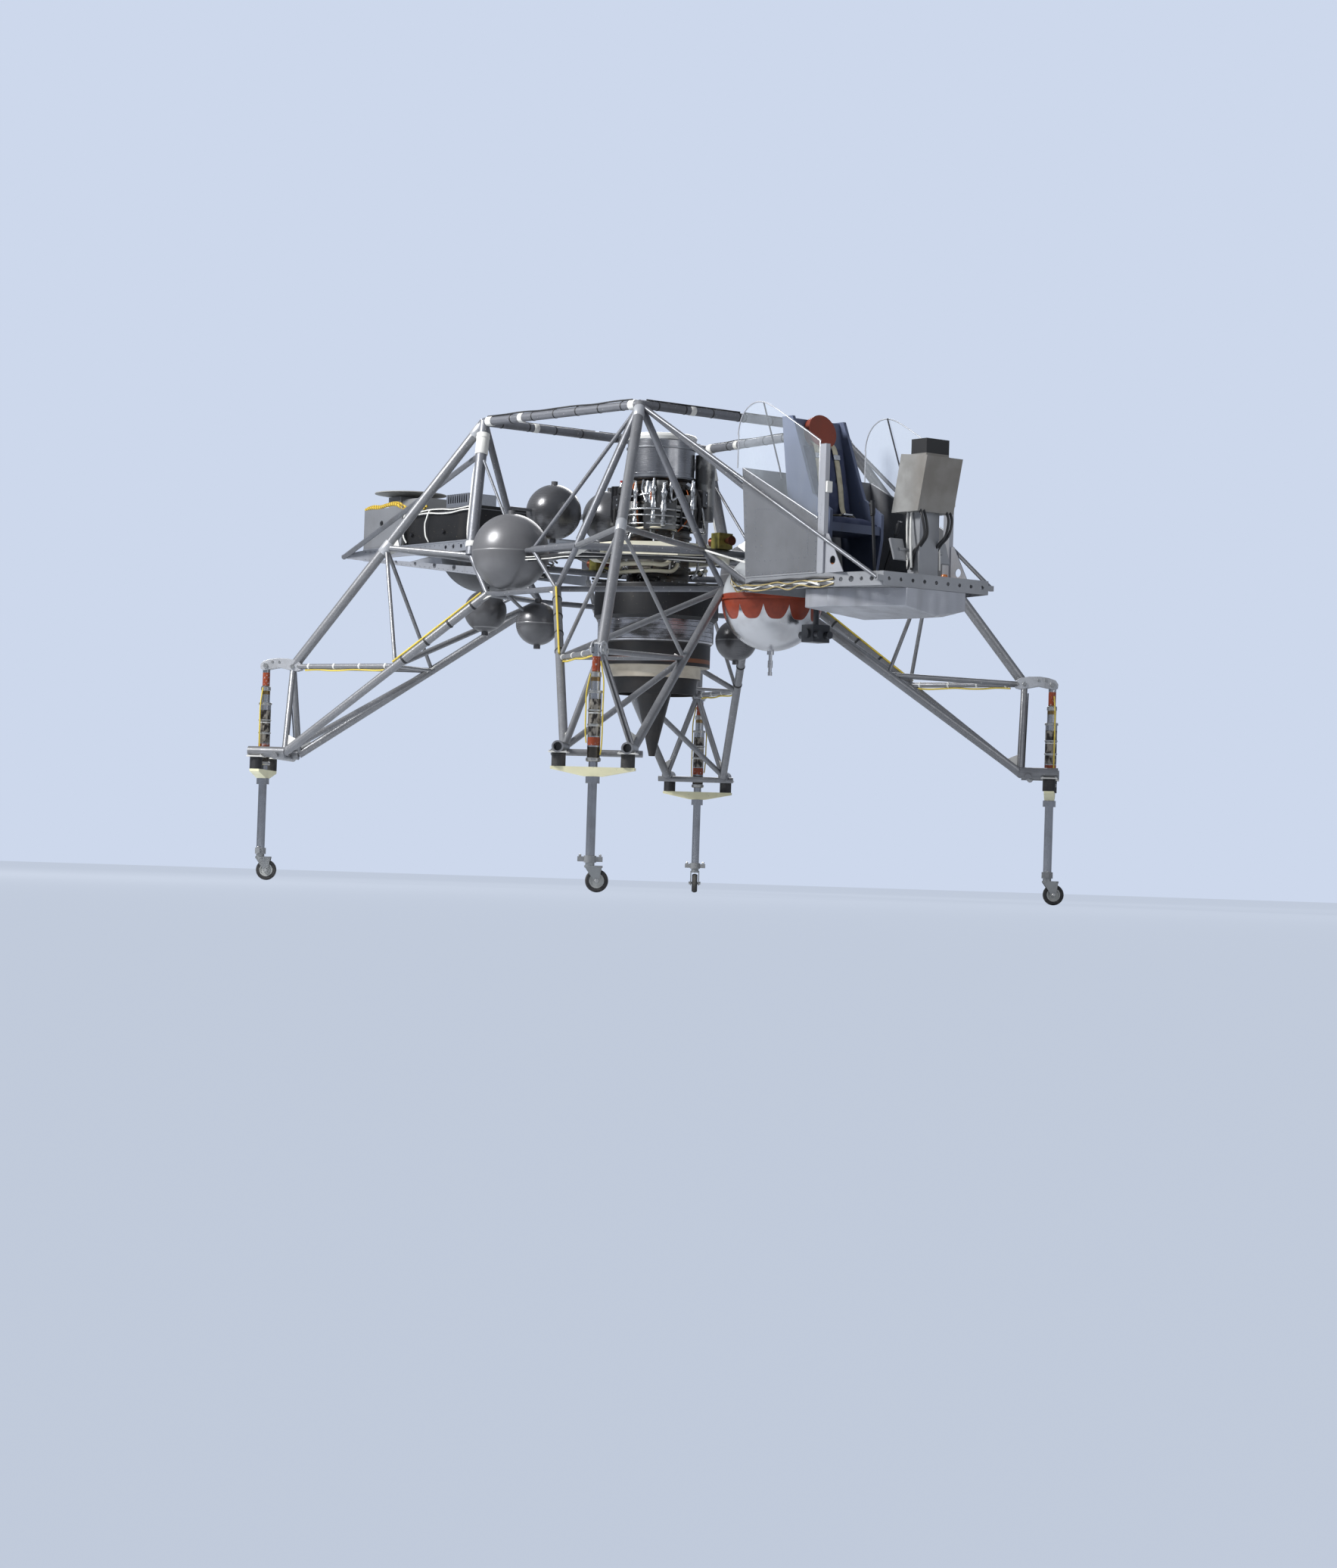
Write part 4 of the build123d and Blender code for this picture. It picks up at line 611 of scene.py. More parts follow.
boots, gussets, black_straps, white_straps, ring_cables, leg_hoses = [], [], [], [], [], []
for name, ahead, aside, trail in leg_rows:
    top = frame_point(ring_ends, ahead, aside)
    inner_side = leg_point(ahead, aside, -0.21, arm_spread, 0.932)
    inner_end = leg_point(ahead, aside, -0.21, -arm_spread, 0.932)
    low_side, low = frame_point(low_side_ends, ahead, aside), frame_point(low_ends, ahead, aside)
    mid_side, mid = frame_point(mid_side_ends, ahead, aside), frame_point(mid_ends, ahead, aside)
    half_side, half_end = part_way(low_side, inner_side, 0.45), part_way(low, inner_end, 0.45)
    chord_end = leg_point(ahead, aside, -0.2, 0, 1.57)
    knee = part_way(top, chord_end, (3.37 - 2.45) / (3.37 - 1.57))
    boots.append(sleeve(top, chord_end, 0.035, 0.13, 0.0395))
    boots.append(sleeve(knee, top, -0.05, 0.05, 0.0385))
    gussets += [
        gusset(half_side, inner_side, low, 0.1),
        gusset(half_end, inner_end, low_side, 0.09),
        gusset(half_side, low_side, half_end, 0.08),
        gusset(knee, top, mid_side, 0.11),
        gusset(knee, chord_end, mid, 0.11),
        gusset(mid_side, mid, low_side, 0.1),
        gusset(low_side, inner_side, frame_point(low_side_ends, -ahead, aside), 0.1),
        gusset(inner_side, chord_end, low_side, 0.13),
        gusset(inner_end, chord_end, low, 0.13),
    ]
    middle = np.array([top[0], 0.0, top[2]])
    span = abs(top[1])
    for count, share in enumerate(np.arange(0.14, span - 0.02, 0.24)):
        black_straps.append(sleeve(top, middle, share, share + 0.013, 0.0335))
        if count == 1:
            white_straps.append(sleeve(top, middle, share + 0.05, share + 0.095, 0.034))
    if ahead == 1:
        back = frame_point(ring_ends, -1, aside)
        white_straps.append(sleeve(top, back, 0.04, 0.1, 0.036))
        white_straps.append(sleeve(back, top, 0.04, 0.1, 0.036))
        white_straps.append(sleeve(back, top, 0.40, 0.445, 0.0338))
        for share in np.arange(0.17, 1.6, 0.24):
            black_straps.append(sleeve(top, back, share, share + 0.013, 0.0335))
        over = np.array([0.0, 0.012 * aside, 0.036])
        wander = part_way(top, back, np.linspace(0.04, 0.97, 9)) + over
        wander[:, 2] += 0.003 * np.sin(np.arange(9) * 2.3)
        ring_cables.append(tube(smooth(wander, 6), 0.0062, 8))
        down = part_way(top, mid_side, np.linspace(0.03, 0.95, 7)) + np.array([-0.033, 0.008 * aside, 0.0])
        ring_cables.append(tube(smooth(down, 6), 0.0058, 8))
    cross_way = part_way(top, middle, np.linspace(0.05, 0.98, 7)) + np.array([0.012 * ahead, 0, 0.034])
    ring_cables.append(tube(smooth(cross_way, 6), 0.005, 8))
    out = unit(np.array([ahead, aside, 0.0]))
    clip = part_way(low_side, half_side, np.linspace(0.02, 0.98, 8)) + out * 0.034 + np.array([0, 0, 0.02])
    leg_hoses.append(tube(smooth(clip, 6), 0.0075, 8))
    rung = part_way(chord_end, half_side, np.linspace(0.12, 0.95, 8)) - np.array([0, 0, 0.027])
    rung[:, 2] += 0.004 * np.sin(np.arange(8) * 1.9)
    leg_hoses.append(tube(smooth(rung, 6), 0.0065, 8))
    drop = part_way(chord_end, inner_end, np.linspace(0.1, 0.97, 7)) + out * 0.03
    ring_cables.append(tube(smooth(drop, 6), 0.0045, 8))
    for share in (0.15, 0.4, 0.65, 0.9):
        here = part_way(low_side, half_side, share)
        black_straps.append(sleeve(here, half_side, 0.0, 0.016, 0.0345))
        white_straps.append(sleeve(part_way(chord_end, half_side, share), half_side, 0.0, 0.014, 0.0215))
looms, pale_looms = [], []
for aside in (-1, 1):
    for row, (thick, down, inn) in enumerate(((0.014, 0.052, 0.0), (0.009, 0.046, 0.028),
                                              (0.008, 0.07, 0.018), (0.004, 0.066, -0.012),
                                              (0.0035, 0.044, -0.018))):
        corners = [frame_point(low_ends, -1, aside) * [1, 1, 1] + [0.02, 0, 0.25],
                   frame_point(mid_ends, -1, aside),
                   part_way(frame_point(mid_ends, -1, aside), frame_point(mid_side_ends, -1, aside), 0.5),
                   frame_point(mid_side_ends, -1, aside) + [0.08, 0, 0],
                   frame_point(mid_side_ends, -1, aside) + [0.4, 0, 0],
                   frame_point(mid_side_ends, 1, aside) - [0.4, 0, 0],
                   frame_point(mid_side_ends, 1, aside) - [0.08, 0, 0],
                   part_way(frame_point(mid_ends, 1, aside), frame_point(mid_side_ends, 1, aside), 0.5),
                   frame_point(mid_ends, 1, aside)]
        route = np.array(corners) - np.array([0.0, inn * aside + 0.03 * aside, down])
        route += 0.007 * np.column_stack([np.sin(np.arange(9) * 2.0 + row),
                                          np.cos(np.arange(9) * 1.7 + row),
                                          np.sin(np.arange(9) * 2.6 + row)])
        (looms if row in (0, 1, 2) else pale_looms).append(tube(smooth(route, 7), thick, 8))
strap_black = rubber("strap_black", tint(30, 31, 34), 0.55)
strap_white = enamel("strap_white", tint(226, 226, 222), 0.5, 0.1, 0.3)
fit(grid_mesh("joint_boots", boots, head_silver), "airframe")
fit(soften(grid_mesh("gusset_plates", gussets, head_white), 0.0015), "airframe")
fit(grid_mesh("black_straps", black_straps, strap_black), "airframe")
fit(grid_mesh("white_straps", white_straps, strap_white), "airframe")
fit(grid_mesh("ring_cables", ring_cables, strap_black), "airframe")
fit(grid_mesh("frame_looms", looms, strap_black), "airframe")
fit(grid_mesh("frame_air_lines", pale_looms, strap_white), "airframe")
fit(grid_mesh("leg_hoses", leg_hoses, hose_yellow), "airframe")

# The thick rear columns carry a bright can near their tops and a white air line down their side.
column_cans, air_lines = [], []
for aside in (-1, 1):
    top, foot = frame_point(ring_ends, -1, aside), frame_point(mid_side_ends, -1, aside)
    column_cans.append(sleeve(top, foot, 0.09, 0.25, 0.047, 28))
    column_cans.append(sleeve(top, foot, 0.115, 0.13, 0.05, 28))
    column_cans.append(sleeve(foot, top, 0.06, 0.1, 0.046, 28))
    for shift, size in ((-0.058, 0.009), (-0.078, 0.006)):
        line = part_way(top, foot, np.linspace(0.27, 0.93, 6)) + np.array([shift, 0.0, 0.0])
        line[[0, -1]] += np.array([0.03, 0.0, 0.0])
        air_lines.append(tube(smooth(line, 6), size, 10))
fit(grid_mesh("column_cans", column_cans, strap_white), "airframe")
fit(grid_mesh("column_air_lines", air_lines, strap_white), "airframe")

# ---- Tanks and bottles ----
# Spun and welded spheres. The side tanks are a soft-gloss dark grey, the bottles dark polished
# steel, and the front tank has a silver belly under an orange band with hanging scallops.


def sphere_finish(name, colour, rough, metal, middle_z, spread):
    """A spun sphere: fine rings about its upright axis, a weld line at the middle and soft stains."""
    shell = Finish(name)
    z = shell.axis("Z")
    spun = shell.noise(240.0, (0.02, 0.02, 1), 2.0)
    stain = shell.noise(4.0, detail=5.0)
    weld = z.within(middle_z - 0.004, middle_z + 0.004, 0.002)
    darker = tuple(spread * c for c in colour[:3]) + (1,)
    tone = shell.mix(stain.step(0.35, 0.7), colour, darker)
    tone = shell.mix(weld * 0.5, tone, tint(150, 150, 150))
    return shell.done(tone, rough + (stain - 0.5) * 0.2 + (spun - 0.5) * 0.08, metal,
                      spun * 0.2 + weld * 0.8, 0.0012)


dress(sphere_finish("tank_slate", tint(112, 112, 114), 0.34, 0.3, 2.385, 0.8), "side_tanks")
dress(sphere_finish("bottle_steel", tint(100, 100, 102), 0.3, 0.55, 1.89, 0.7), "gas_bottles")

belly = Finish("front_tank_belly")
offset = belly.node("Mapping", (), {"Vector": belly.place, "Location": (-1.645, 0.0, -2.055)})
side_x = belly.node("SeparateXYZ", (), {0: offset}, out="X")
side_y = belly.node("SeparateXYZ", (), {0: offset}, out="Y")
side_z = belly.node("SeparateXYZ", (), {0: offset}, out="Z")
bearing = belly.node("Math", {"operation": "ARCTAN2"}, {0: side_y, 1: side_x})
petal = (bearing + 4.0).wave(2 * np.pi / 12)
hem = -0.045 - 0.1 * (1 - (1 - petal) ** 3.6)
orange = (1 - side_z.step(0.034, 0.037)) * (side_z - hem).step(-0.003, 0.003)
below = 1 - side_z.step(0.0, 0.004)
tarnish = belly.noise(6.0, detail=5.0)
spun = belly.noise(260.0, (0.02, 0.02, 1), 2.0)
silver = belly.mix(tarnish.step(0.4, 0.75) * 0.35, tint(196, 197, 200), tint(132, 128, 124))
upper = belly.mix(tarnish.step(0.4, 0.7) * 0.3, tint(186, 190, 194), tint(150, 152, 154))
shell_tone = belly.mix(below, upper, silver)
fade = belly.noise(34.0, detail=4.0)
shell_tone = belly.mix(orange, shell_tone,
                       belly.mix(fade.step(0.3, 0.8) * 0.5, tint(140, 56, 32), tint(106, 42, 27)))
metal_share = below * (1 - orange) * 0.9 + 0.1
belly.done(shell_tone, 0.24 + (tarnish - 0.5) * 0.2 + orange * 0.2, metal_share, spun * 0.3 + orange * 0.15,
           0.0008)
dress(belly.material, "front_tank")

# ---- Gimbal ring ----
# Eight box-section flats welded into a ring, in cream enamel, hung on two pins.
dress(enamel("gimbal_cream", tint(222, 218, 198), 0.42, 0.1, 0.45), "gimbal_ring")

# ---- Engine intake and core ----
# A polished alloy intake barrel with a pale lip, over a core whose casing is bolted together at
# flanges. The casing is darkened in uneven belts.
intake = Finish("intake_alloy")
z = intake.axis("Z")
marks = intake.noise(300.0, (0.03, 0.03, 1), 2.0)
haze = intake.noise(3.6, detail=4.0)
seam = z.within(3.02, 3.027) + z.within(3.2, 3.205)
tone = intake.mix(haze.step(0.4, 0.75) * 0.5, tint(160, 161, 164), tint(84, 84, 88))
tone = intake.mix(z.step(3.262, 3.268), tone, tint(226, 226, 222))
duct_x = intake.axis("X") - engine_x
duct_y = intake.axis("Y")
radius = (duct_x * duct_x + duct_y * duct_y) ** 0.5
# The barrel's inner wall below the lip is painted darker: painted shade inside the duct.
painted_duct_shade = (1 - radius.step(0.206, 0.214)) * z.step(3.0, 3.01)
tone = intake.mix(painted_duct_shade * 0.7, tone, tint(96, 98, 104))
intake.done(tone, 0.16 + haze * 0.16 + (marks - 0.5) * 0.12, 1 - z.step(3.262, 3.268) * 0.8,
            marks * 0.4 - seam, 0.0012)
dress(intake.material, "engine_intake")

core = Finish("core_casing")
z = core.axis("Z")
belt = core.noise(7.0, (0.3, 0.3, 1.6), 3.0)
blotch = core.noise(16.0, detail=5.0)
marks = core.noise(300.0, (0.03, 0.03, 1), 2.0)
tone = core.mix(belt.step(0.42, 0.58), tint(104, 102, 98), tint(34, 32, 32))
tone = core.mix(blotch.step(0.5, 0.75) * 0.5, tone, tint(88, 68, 46))
rib = z.wave(0.034).step(0.75, 0.95)
core.done(tone, 0.34 + (blotch - 0.5) * 0.25, 0.9, marks * 0.3 + rib * 0.7, 0.002)
dress(core.material, "engine_core")
accessory_tone = Finish("accessory_alloy")
cast = accessory_tone.noise(130.0, detail=3.0)
cloud = accessory_tone.noise(8.0, detail=4.0)
# The accessories' forward half, the side that faces the view, is painted lighter: a painted highlight.
painted_forward_highlight = accessory_tone.axis("X").step(engine_x - 0.05, engine_x + 0.05)
tone = accessory_tone.mix(cloud.step(0.44, 0.54), tint(126, 126, 124), tint(34, 34, 36))
tone = accessory_tone.mix(painted_forward_highlight * 0.2, tone, tint(190, 190, 188))
accessory_tone.done(tone, 0.36 + (cast - 0.5) * 0.3, 0.85, cast, 0.0012)
dress(accessory_tone.material, "engine_accessories")

# Inlet guide vanes stand round the duct floor behind the spinner, twisted a little each, and a
# bolted clamp band closes the barrel on the core.
def engine_place(angle, radius, height):
    """Points by their angle round the engine in degrees, their distance from its axis and height."""
    turn = np.radians(np.asarray(angle, float))
    return np.stack(np.broadcast_arrays(engine_x + np.asarray(radius) * np.cos(turn),
                                        np.asarray(radius) * np.sin(turn), np.asarray(height, float)),
                                        axis=-1)


vanes = []
for angle in np.radians(np.arange(0, 360, 15)):
    outward = np.array([np.cos(angle), np.sin(angle), 0.0])
    sideways = np.array([-outward[1], outward[0], 0.0])
    rows = []
    for radius in (0.068, 0.115, 0.165, 0.211):
        lean = 0.02 + 0.05 * radius
        offsets = np.array([-lean - 0.002, -lean + 0.002, lean + 0.002, lean - 0.002])
        heights = np.array([3.122, 3.122, 3.176, 3.176])
        middle = np.array([engine_x, 0.0, 0.0]) + outward * radius
        rows.append(middle + offsets[:, None] * sideways + heights[:, None] * [0.0, 0.0, 1.0])
    vanes.append(np.array(rows))
blade_steel = bare_metal("blade_steel", tint(150, 152, 156), 0.3, (1, 1, 0.2), 0.3)
fit(grid_mesh("inlet_vanes", vanes, blade_steel), "engine")
clamp_bands = [lathe(band_profile(0.2445, 0.2535, low, low + 0.014), (engine_x, 0, 0), 64)
               for low in (2.99, 3.2)]
fit(grid_mesh("intake_clamps", clamp_bands, blade_steel, round_rows=True), "engine")
flange_studs = []
for height in (2.969, 2.76, 2.56, 2.33, 2.219):
    for angle in np.arange(5, 365, 15.0):
        flange_studs += studs([engine_place(angle, 0.2325, height + 0.0165)], (0, 0, 1), 0.0045, 0.006)
fit(grid_mesh("flange_studs", flange_studs, blade_steel), "engine")

# Fuel, oil and air lines wind round the core between the barrel and the fan. Each row gives a
# line's radius and the angle, distance and height of the points that it runs through.
silver_rows = [
    (0.011, [(-60, 0.25, 2.95), (-56, 0.285, 2.9), (-45, 0.30, 2.82), (-30, 0.30, 2.80), (-14, 0.285, 2.83),
             (-8, 0.25, 2.88)]),
    (0.009, [(-95, 0.25, 2.93), (-92, 0.29, 2.88), (-80, 0.315, 2.84), (-60, 0.325, 2.85),
             (-40, 0.33, 2.87), (-22, 0.30, 2.9), (-15, 0.25, 2.93)]),
    (0.013, [(-52, 0.262, 2.63), (-51, 0.30, 2.66), (-50, 0.318, 2.72), (-50, 0.318, 2.84),
             (-51, 0.29, 2.92), (-52, 0.25, 2.94)]),
    (0.007, [(-118, 0.29, 2.74), (-95, 0.35, 2.735), (-70, 0.368, 2.742), (-45, 0.372, 2.745),
             (-25, 0.372, 2.74), (-5, 0.35, 2.735), (15, 0.29, 2.74)]),
    (0.006, [(-120, 0.27, 2.69), (-95, 0.35, 2.69), (-70, 0.368, 2.70), (-45, 0.372, 2.698),
             (-25, 0.372, 2.694), (0, 0.34, 2.69), (14, 0.28, 2.69)]),
    (0.006, [(-120, 0.26, 2.63), (-95, 0.34, 2.632), (-70, 0.362, 2.64), (-45, 0.368, 2.638),
             (-25, 0.368, 2.636), (0, 0.34, 2.632), (16, 0.27, 2.63)]),
    (0.010, [(30, 0.25, 2.93), (34, 0.30, 2.86), (45, 0.33, 2.66), (70, 0.34, 2.62), (95, 0.30, 2.66),
             (100, 0.26, 2.7)]),
    (0.012, [(120, 0.25, 2.62), (128, 0.30, 2.68), (140, 0.31, 2.78), (155, 0.30, 2.86), (165, 0.25, 2.9)]),
    (0.008, [(-170, 0.25, 2.94), (-165, 0.29, 2.88), (-150, 0.31, 2.76), (-140, 0.30, 2.66),
             (-128, 0.26, 2.6)]),
    (0.009, [(-48, 0.24, 2.3), (-46, 0.285, 2.34), (-44, 0.305, 2.42), (-44, 0.305, 2.52), (-45, 0.28, 2.6),
             (-46, 0.25, 2.62)]),
    (0.008, [(-20, 0.24, 2.28), (-20, 0.28, 2.32), (-20, 0.30, 2.42), (-18, 0.30, 2.54),
             (-16, 0.27, 2.62)]),
    (0.010, [(-90, 0.24, 2.27), (-88, 0.28, 2.31), (-86, 0.30, 2.42), (-84, 0.29, 2.54),
             (-82, 0.26, 2.62)]),
    (0.009, [(60, 0.24, 2.28), (62, 0.28, 2.32), (64, 0.30, 2.42), (66, 0.29, 2.55), (68, 0.27, 2.68)]),
    (0.009, [(150, 0.24, 2.28), (152, 0.28, 2.32), (154, 0.30, 2.42), (156, 0.29, 2.55),
             (158, 0.26, 2.66)]),
    (0.007, [(-66, 0.25, 2.96), (-65, 0.275, 2.93), (-62, 0.31, 2.88), (-55, 0.335, 2.80),
             (-52, 0.34, 2.70), (-50, 0.30, 2.62), (-49, 0.26, 2.57)]),
]
cream_rows = [
    (0.016, [(-100, 0.30, 2.31), (-85, 0.355, 2.345), (-65, 0.365, 2.35), (-45, 0.365, 2.35),
             (-32, 0.36, 2.345), (-24, 0.335, 2.37), (-22, 0.31, 2.42)]),
    (0.014, [(-110, 0.29, 2.275), (-90, 0.345, 2.29), (-60, 0.365, 2.295), (-40, 0.365, 2.30),
             (-22, 0.35, 2.30), (-12, 0.32, 2.34), (-10, 0.30, 2.39)]),
    (0.015, [(40, 0.31, 2.31), (55, 0.35, 2.34), (90, 0.36, 2.345), (120, 0.35, 2.34), (135, 0.31, 2.38)]),
    (0.012, [(160, 0.30, 2.3), (180, 0.345, 2.33), (205, 0.35, 2.335), (225, 0.33, 2.33),
             (238, 0.29, 2.3)]),
    (0.009, [(-75, 0.31, 2.60), (-60, 0.352, 2.605), (-40, 0.355, 2.612), (-20, 0.33, 2.605),
             (-12, 0.29, 2.60)]),
]
black_rows = [
    (0.012, [(-115, 0.26, 2.9), (-105, 0.32, 2.86), (-92, 0.34, 2.80), (-84, 0.345, 2.72),
             (-80, 0.31, 2.64), (-80, 0.26, 2.58)]),
    (0.010, [(-35, 0.25, 2.94), (-31, 0.31, 2.9), (-26, 0.34, 2.84), (-20, 0.34, 2.74), (-16, 0.30, 2.66)]),
    (0.015, [(10, 0.25, 2.94), (14, 0.32, 2.9), (18, 0.345, 2.8), (20, 0.33, 2.68), (20, 0.28, 2.6)]),
    (0.013, [(85, 0.26, 2.95), (90, 0.32, 2.92), (96, 0.34, 2.82), (100, 0.32, 2.7), (104, 0.28, 2.6)]),
    (0.011, [(-150, 0.25, 2.6), (-146, 0.31, 2.66), (-140, 0.34, 2.76), (-132, 0.33, 2.88),
             (-126, 0.26, 2.95)]),
    (0.008, [(-68, 0.24, 2.25), (-66, 0.29, 2.26), (-60, 0.33, 2.27), (-50, 0.34, 2.265), (-40, 0.32, 2.26),
             (-34, 0.26, 2.25)]),
]


def engine_lines(name, rows, material):
    """Each row's points joined by a smooth line with a round section carried along it."""
    lines = [tube(smooth(engine_place(*np.array(spots).T), 7), radius, 12) for radius, spots in rows]
    return fit(grid_mesh(name, lines, material), "engine")


line_silver = bare_metal("line_silver", tint(198, 200, 202), 0.22, (1, 1, 0.1), 0.35)
line_cream = enamel("line_cream", tint(214, 208, 186), 0.4, 0.12, 0.4)
line_black = rubber("line_black", tint(22, 22, 25), 0.5)
engine_lines("silver_lines", silver_rows, line_silver)
engine_lines("cream_lines", cream_rows, line_cream)
engine_lines("black_hoses", black_rows, line_black)

# Union nuts sit where lines meet, clips hold them, and small units hang among them: a bright
# upright pump towards the bow, two dark boxes with a red cap, valves and an igniter box.
unions = []
for radius, spots in silver_rows + cream_rows + black_rows:
    for first, second in ((0, 1), (-1, -2)):
        start, after = (engine_place(*spots[k]) for k in (first, second))
        unions += [tube(part_way(start, after, np.array([0.02, 0.1, 0.5, 0.58])),
                        np.array([0.8, 1.75, 1.75, 1.2]) * radius, 6)]
fit(grid_mesh("line_unions", unions, line_silver, crease=25.0), "engine")
clips = [brick(engine_place(angle, 0.366, 2.69), (0.008, 0.014, 0.135), np.radians(angle))
         for angle in (-100, -76, -12, 8)]
fit(soften(grid_mesh("line_clips", clips, line_black), 0.002), "engine")
pump_steps = [(0.001, 2.66), (0.03, 2.66), (0.034, 2.665), (0.034, 2.70), (0.026, 2.705), (0.026, 2.80),
              (0.038, 2.805), (0.038, 2.835),
              (0.03, 2.84), (0.03, 2.90), (0.02, 2.915), (0.012, 2.95), (0.001, 2.952)]
pumps = [lathe(pump_steps, engine_place(angle, 0.292, 0.0), 28) for angle in (-55, -110, 140)]
slim = np.array([[0.001, 2.648], [0.017, 2.65], [0.021, 2.66], [0.021, 2.69], [0.014, 2.70], [0.014, 2.75],
                 [0.022, 2.755], [0.022, 2.80],
                 [0.016, 2.81], [0.016, 2.86], [0.021, 2.87], [0.021, 2.9], [0.011, 2.92], [0.008, 2.965],
                 [0.001, 2.967]])
pumps += [lathe(slim * [width, 1.0], engine_place(angle, reach, lift), 24) for angle, reach, width, lift in
          ((-45, 0.352, 1.0, 0.0), (-33, 0.36, 1.15, -0.03), (-24, 0.335, 0.8, 0.02),
           (-68, 0.345, 0.9, -0.02), (5, 0.345, 0.9, 0.0))]
fit(grid_mesh("upright_pumps", pumps, line_silver), "engine")
units = [
    brick(engine_place(-98, 0.305, 2.80), (0.09, 0.15, 0.1), np.radians(-98)),
    brick(engine_place(-92, 0.31, 2.885), (0.07, 0.10, 0.05), np.radians(-92)),
    brick(engine_place(35, 0.305, 2.85), (0.08, 0.13, 0.12), np.radians(35)),
    brick(engine_place(85, 0.30, 2.74), (0.08, 0.12, 0.16), np.radians(85)),
    brick(engine_place(200, 0.295, 2.72), (0.07, 0.14, 0.11), np.radians(200)),
    brick(engine_place(-25, 0.30, 2.70), (0.06, 0.09, 0.07), np.radians(-25)),
]
unit_black = enamel("unit_black", tint(28, 28, 31), 0.42, 0.25, 0.3)
fit(soften(grid_mesh("dark_units", units, unit_black), 0.006, 3), "engine")
unit_studs = []
for angle, distance, height in ((-98, 0.352, 2.82), (-98, 0.352, 2.78), (35, 0.347, 2.88),
                                (35, 0.347, 2.82), (-25, 0.332, 2.70)):
    unit_studs += studs([engine_place(angle, distance, height)],
                        engine_place(angle, 1.0, 0.0) - engine_place(0, 0.0, 0.0), 0.008, 0.007)
fit(grid_mesh("unit_studs", unit_studs, line_silver), "engine")
cap_red = enamel("cap_red", tint(168, 40, 34), 0.4, 0.15, 0.25)
caps = [lathe([(0.001, 2.908), (0.02, 2.908), (0.021, 2.913), (0.021, 2.93), (0.016, 2.936),
               (0.001, 2.937)], engine_place(-92, 0.31, 0.0), 24)]
caps.append(lathe([(0.001, 2.952), (0.013, 2.952), (0.013, 2.966), (0.001, 2.967)],
                  engine_place(-110, 0.292, 0.0), 20))
fit(grid_mesh("red_caps", caps, cap_red), "engine")

# Orange-sleeved igniter leads and lacing wires.
lead_orange = enamel("lead_orange", tint(190, 98, 40), 0.5, 0.15, 0.3)
lead_rows = [
    (0.0055, [(-82, 0.255, 2.95), (-78, 0.30, 2.91), (-70, 0.335, 2.86), (-66, 0.345, 2.78),
              (-66, 0.33, 2.68), (-68, 0.28, 2.6)]),
    (0.005, [(-38, 0.25, 2.95), (-42, 0.3, 2.93), (-48, 0.335, 2.88), (-47, 0.345, 2.78), (-42, 0.33, 2.68),
             (-40, 0.27, 2.6)]),
    (0.005, [(-5, 0.25, 2.6), (-2, 0.3, 2.64), (2, 0.33, 2.7), (6, 0.32, 2.8), (8, 0.27, 2.9)]),
]
engine_lines("igniter_leads", lead_rows, lead_orange)

# ---- Fan cowl and tailpipe ----
# A black-painted cowl over the fan, then a jet pipe with polished rings, a cream heat band, a
# black skirt and the long black cone inside the nozzle.
dress(enamel("cowl_black", tint(19, 19, 22), 0.5, 0.25, 0.25, 0.0, (70, 62, 52)), "fan_cowl")
tail = Finish("tailpipe_bands")
z = tail.axis("Z")
heat = tail.noise(5.0, (1, 1, 2), 4.0)
marks = tail.noise(320.0, (0.03, 0.03, 1), 2.0)
polished = z.within(1.80, 1.97)
dark_line = z.wave(0.0333).step(0.86, 0.95) * polished
tone = tail.mix(heat.step(0.35, 0.75), tint(17, 17, 19), tint(38, 33, 30))
tone = tail.mix(polished, tone, tail.mix(heat.step(0.45, 0.65), tint(186, 186, 190), tint(92, 90, 88)))
tone = tail.mix(dark_line, tone, tint(36, 34, 36))
cream = z.within(1.545, 1.63)
tone = tail.mix(cream, tone, tail.mix(heat.step(0.4, 0.7) * 0.4, tint(206, 198, 182), tint(140, 126, 104)))
tone = tail.mix(z.within(1.655, 1.685) * 0.8, tone, tint(128, 76, 44))
shine = 0.46 - polished * 0.26 + (heat - 0.5) * 0.15
tail.done(tone, shine, polished * (1 - dark_line) * 0.95, marks * 0.3 - dark_line, 0.002)
dress(tail.material, "engine_tailpipe")

# ---- Attitude thrusters ----
# Small valve blocks in an olive chromate finish, with spun bells browned by heat.
olive = Finish("thruster_olive")
bloom = olive.noise(24.0, detail=4.0)
reach_x = olive.axis("X") - engine_x
bell = (reach_x * reach_x) ** 0.5
bell_share = bell.step(1.134, 1.138) + (1 - bell.step(1.042, 1.046))
tone = olive.mix(bloom.step(0.35, 0.7), tint(140, 134, 66), tint(104, 98, 48))
tone = olive.mix(bell_share, tone, olive.mix(bloom, tint(116, 60, 40), tint(70, 50, 44)))
olive.done(tone, 0.42 + (bloom - 0.5) * 0.3, 0.35 + bell_share * 0.5, bloom, 0.001)
dress(olive.material, "attitude_thrusters")

# ---- Cockpit shell ----
# Flat sheet panels in a blue-grey enamel on a tray of flanged beams, with grey posts, a clear
# arched window to each side and a silver folded fairing underneath.
panel_grey = enamel("panel_grey", tint(118, 120, 124), 0.34, 0.14, 0.3, 0.3)
beam_grey = enamel("beam_grey", tint(152, 154, 158), 0.34, 0.12, 0.3, 0.35)
post_grey = enamel("post_grey", tint(176, 178, 184), 0.32, 0.08, 0.25, 0.35)
dress(panel_grey, "side_panels", "cockpit_bulkhead")
dress(beam_grey, "cockpit_floor", "console_pedestal")
dress(post_grey, "cockpit_posts")

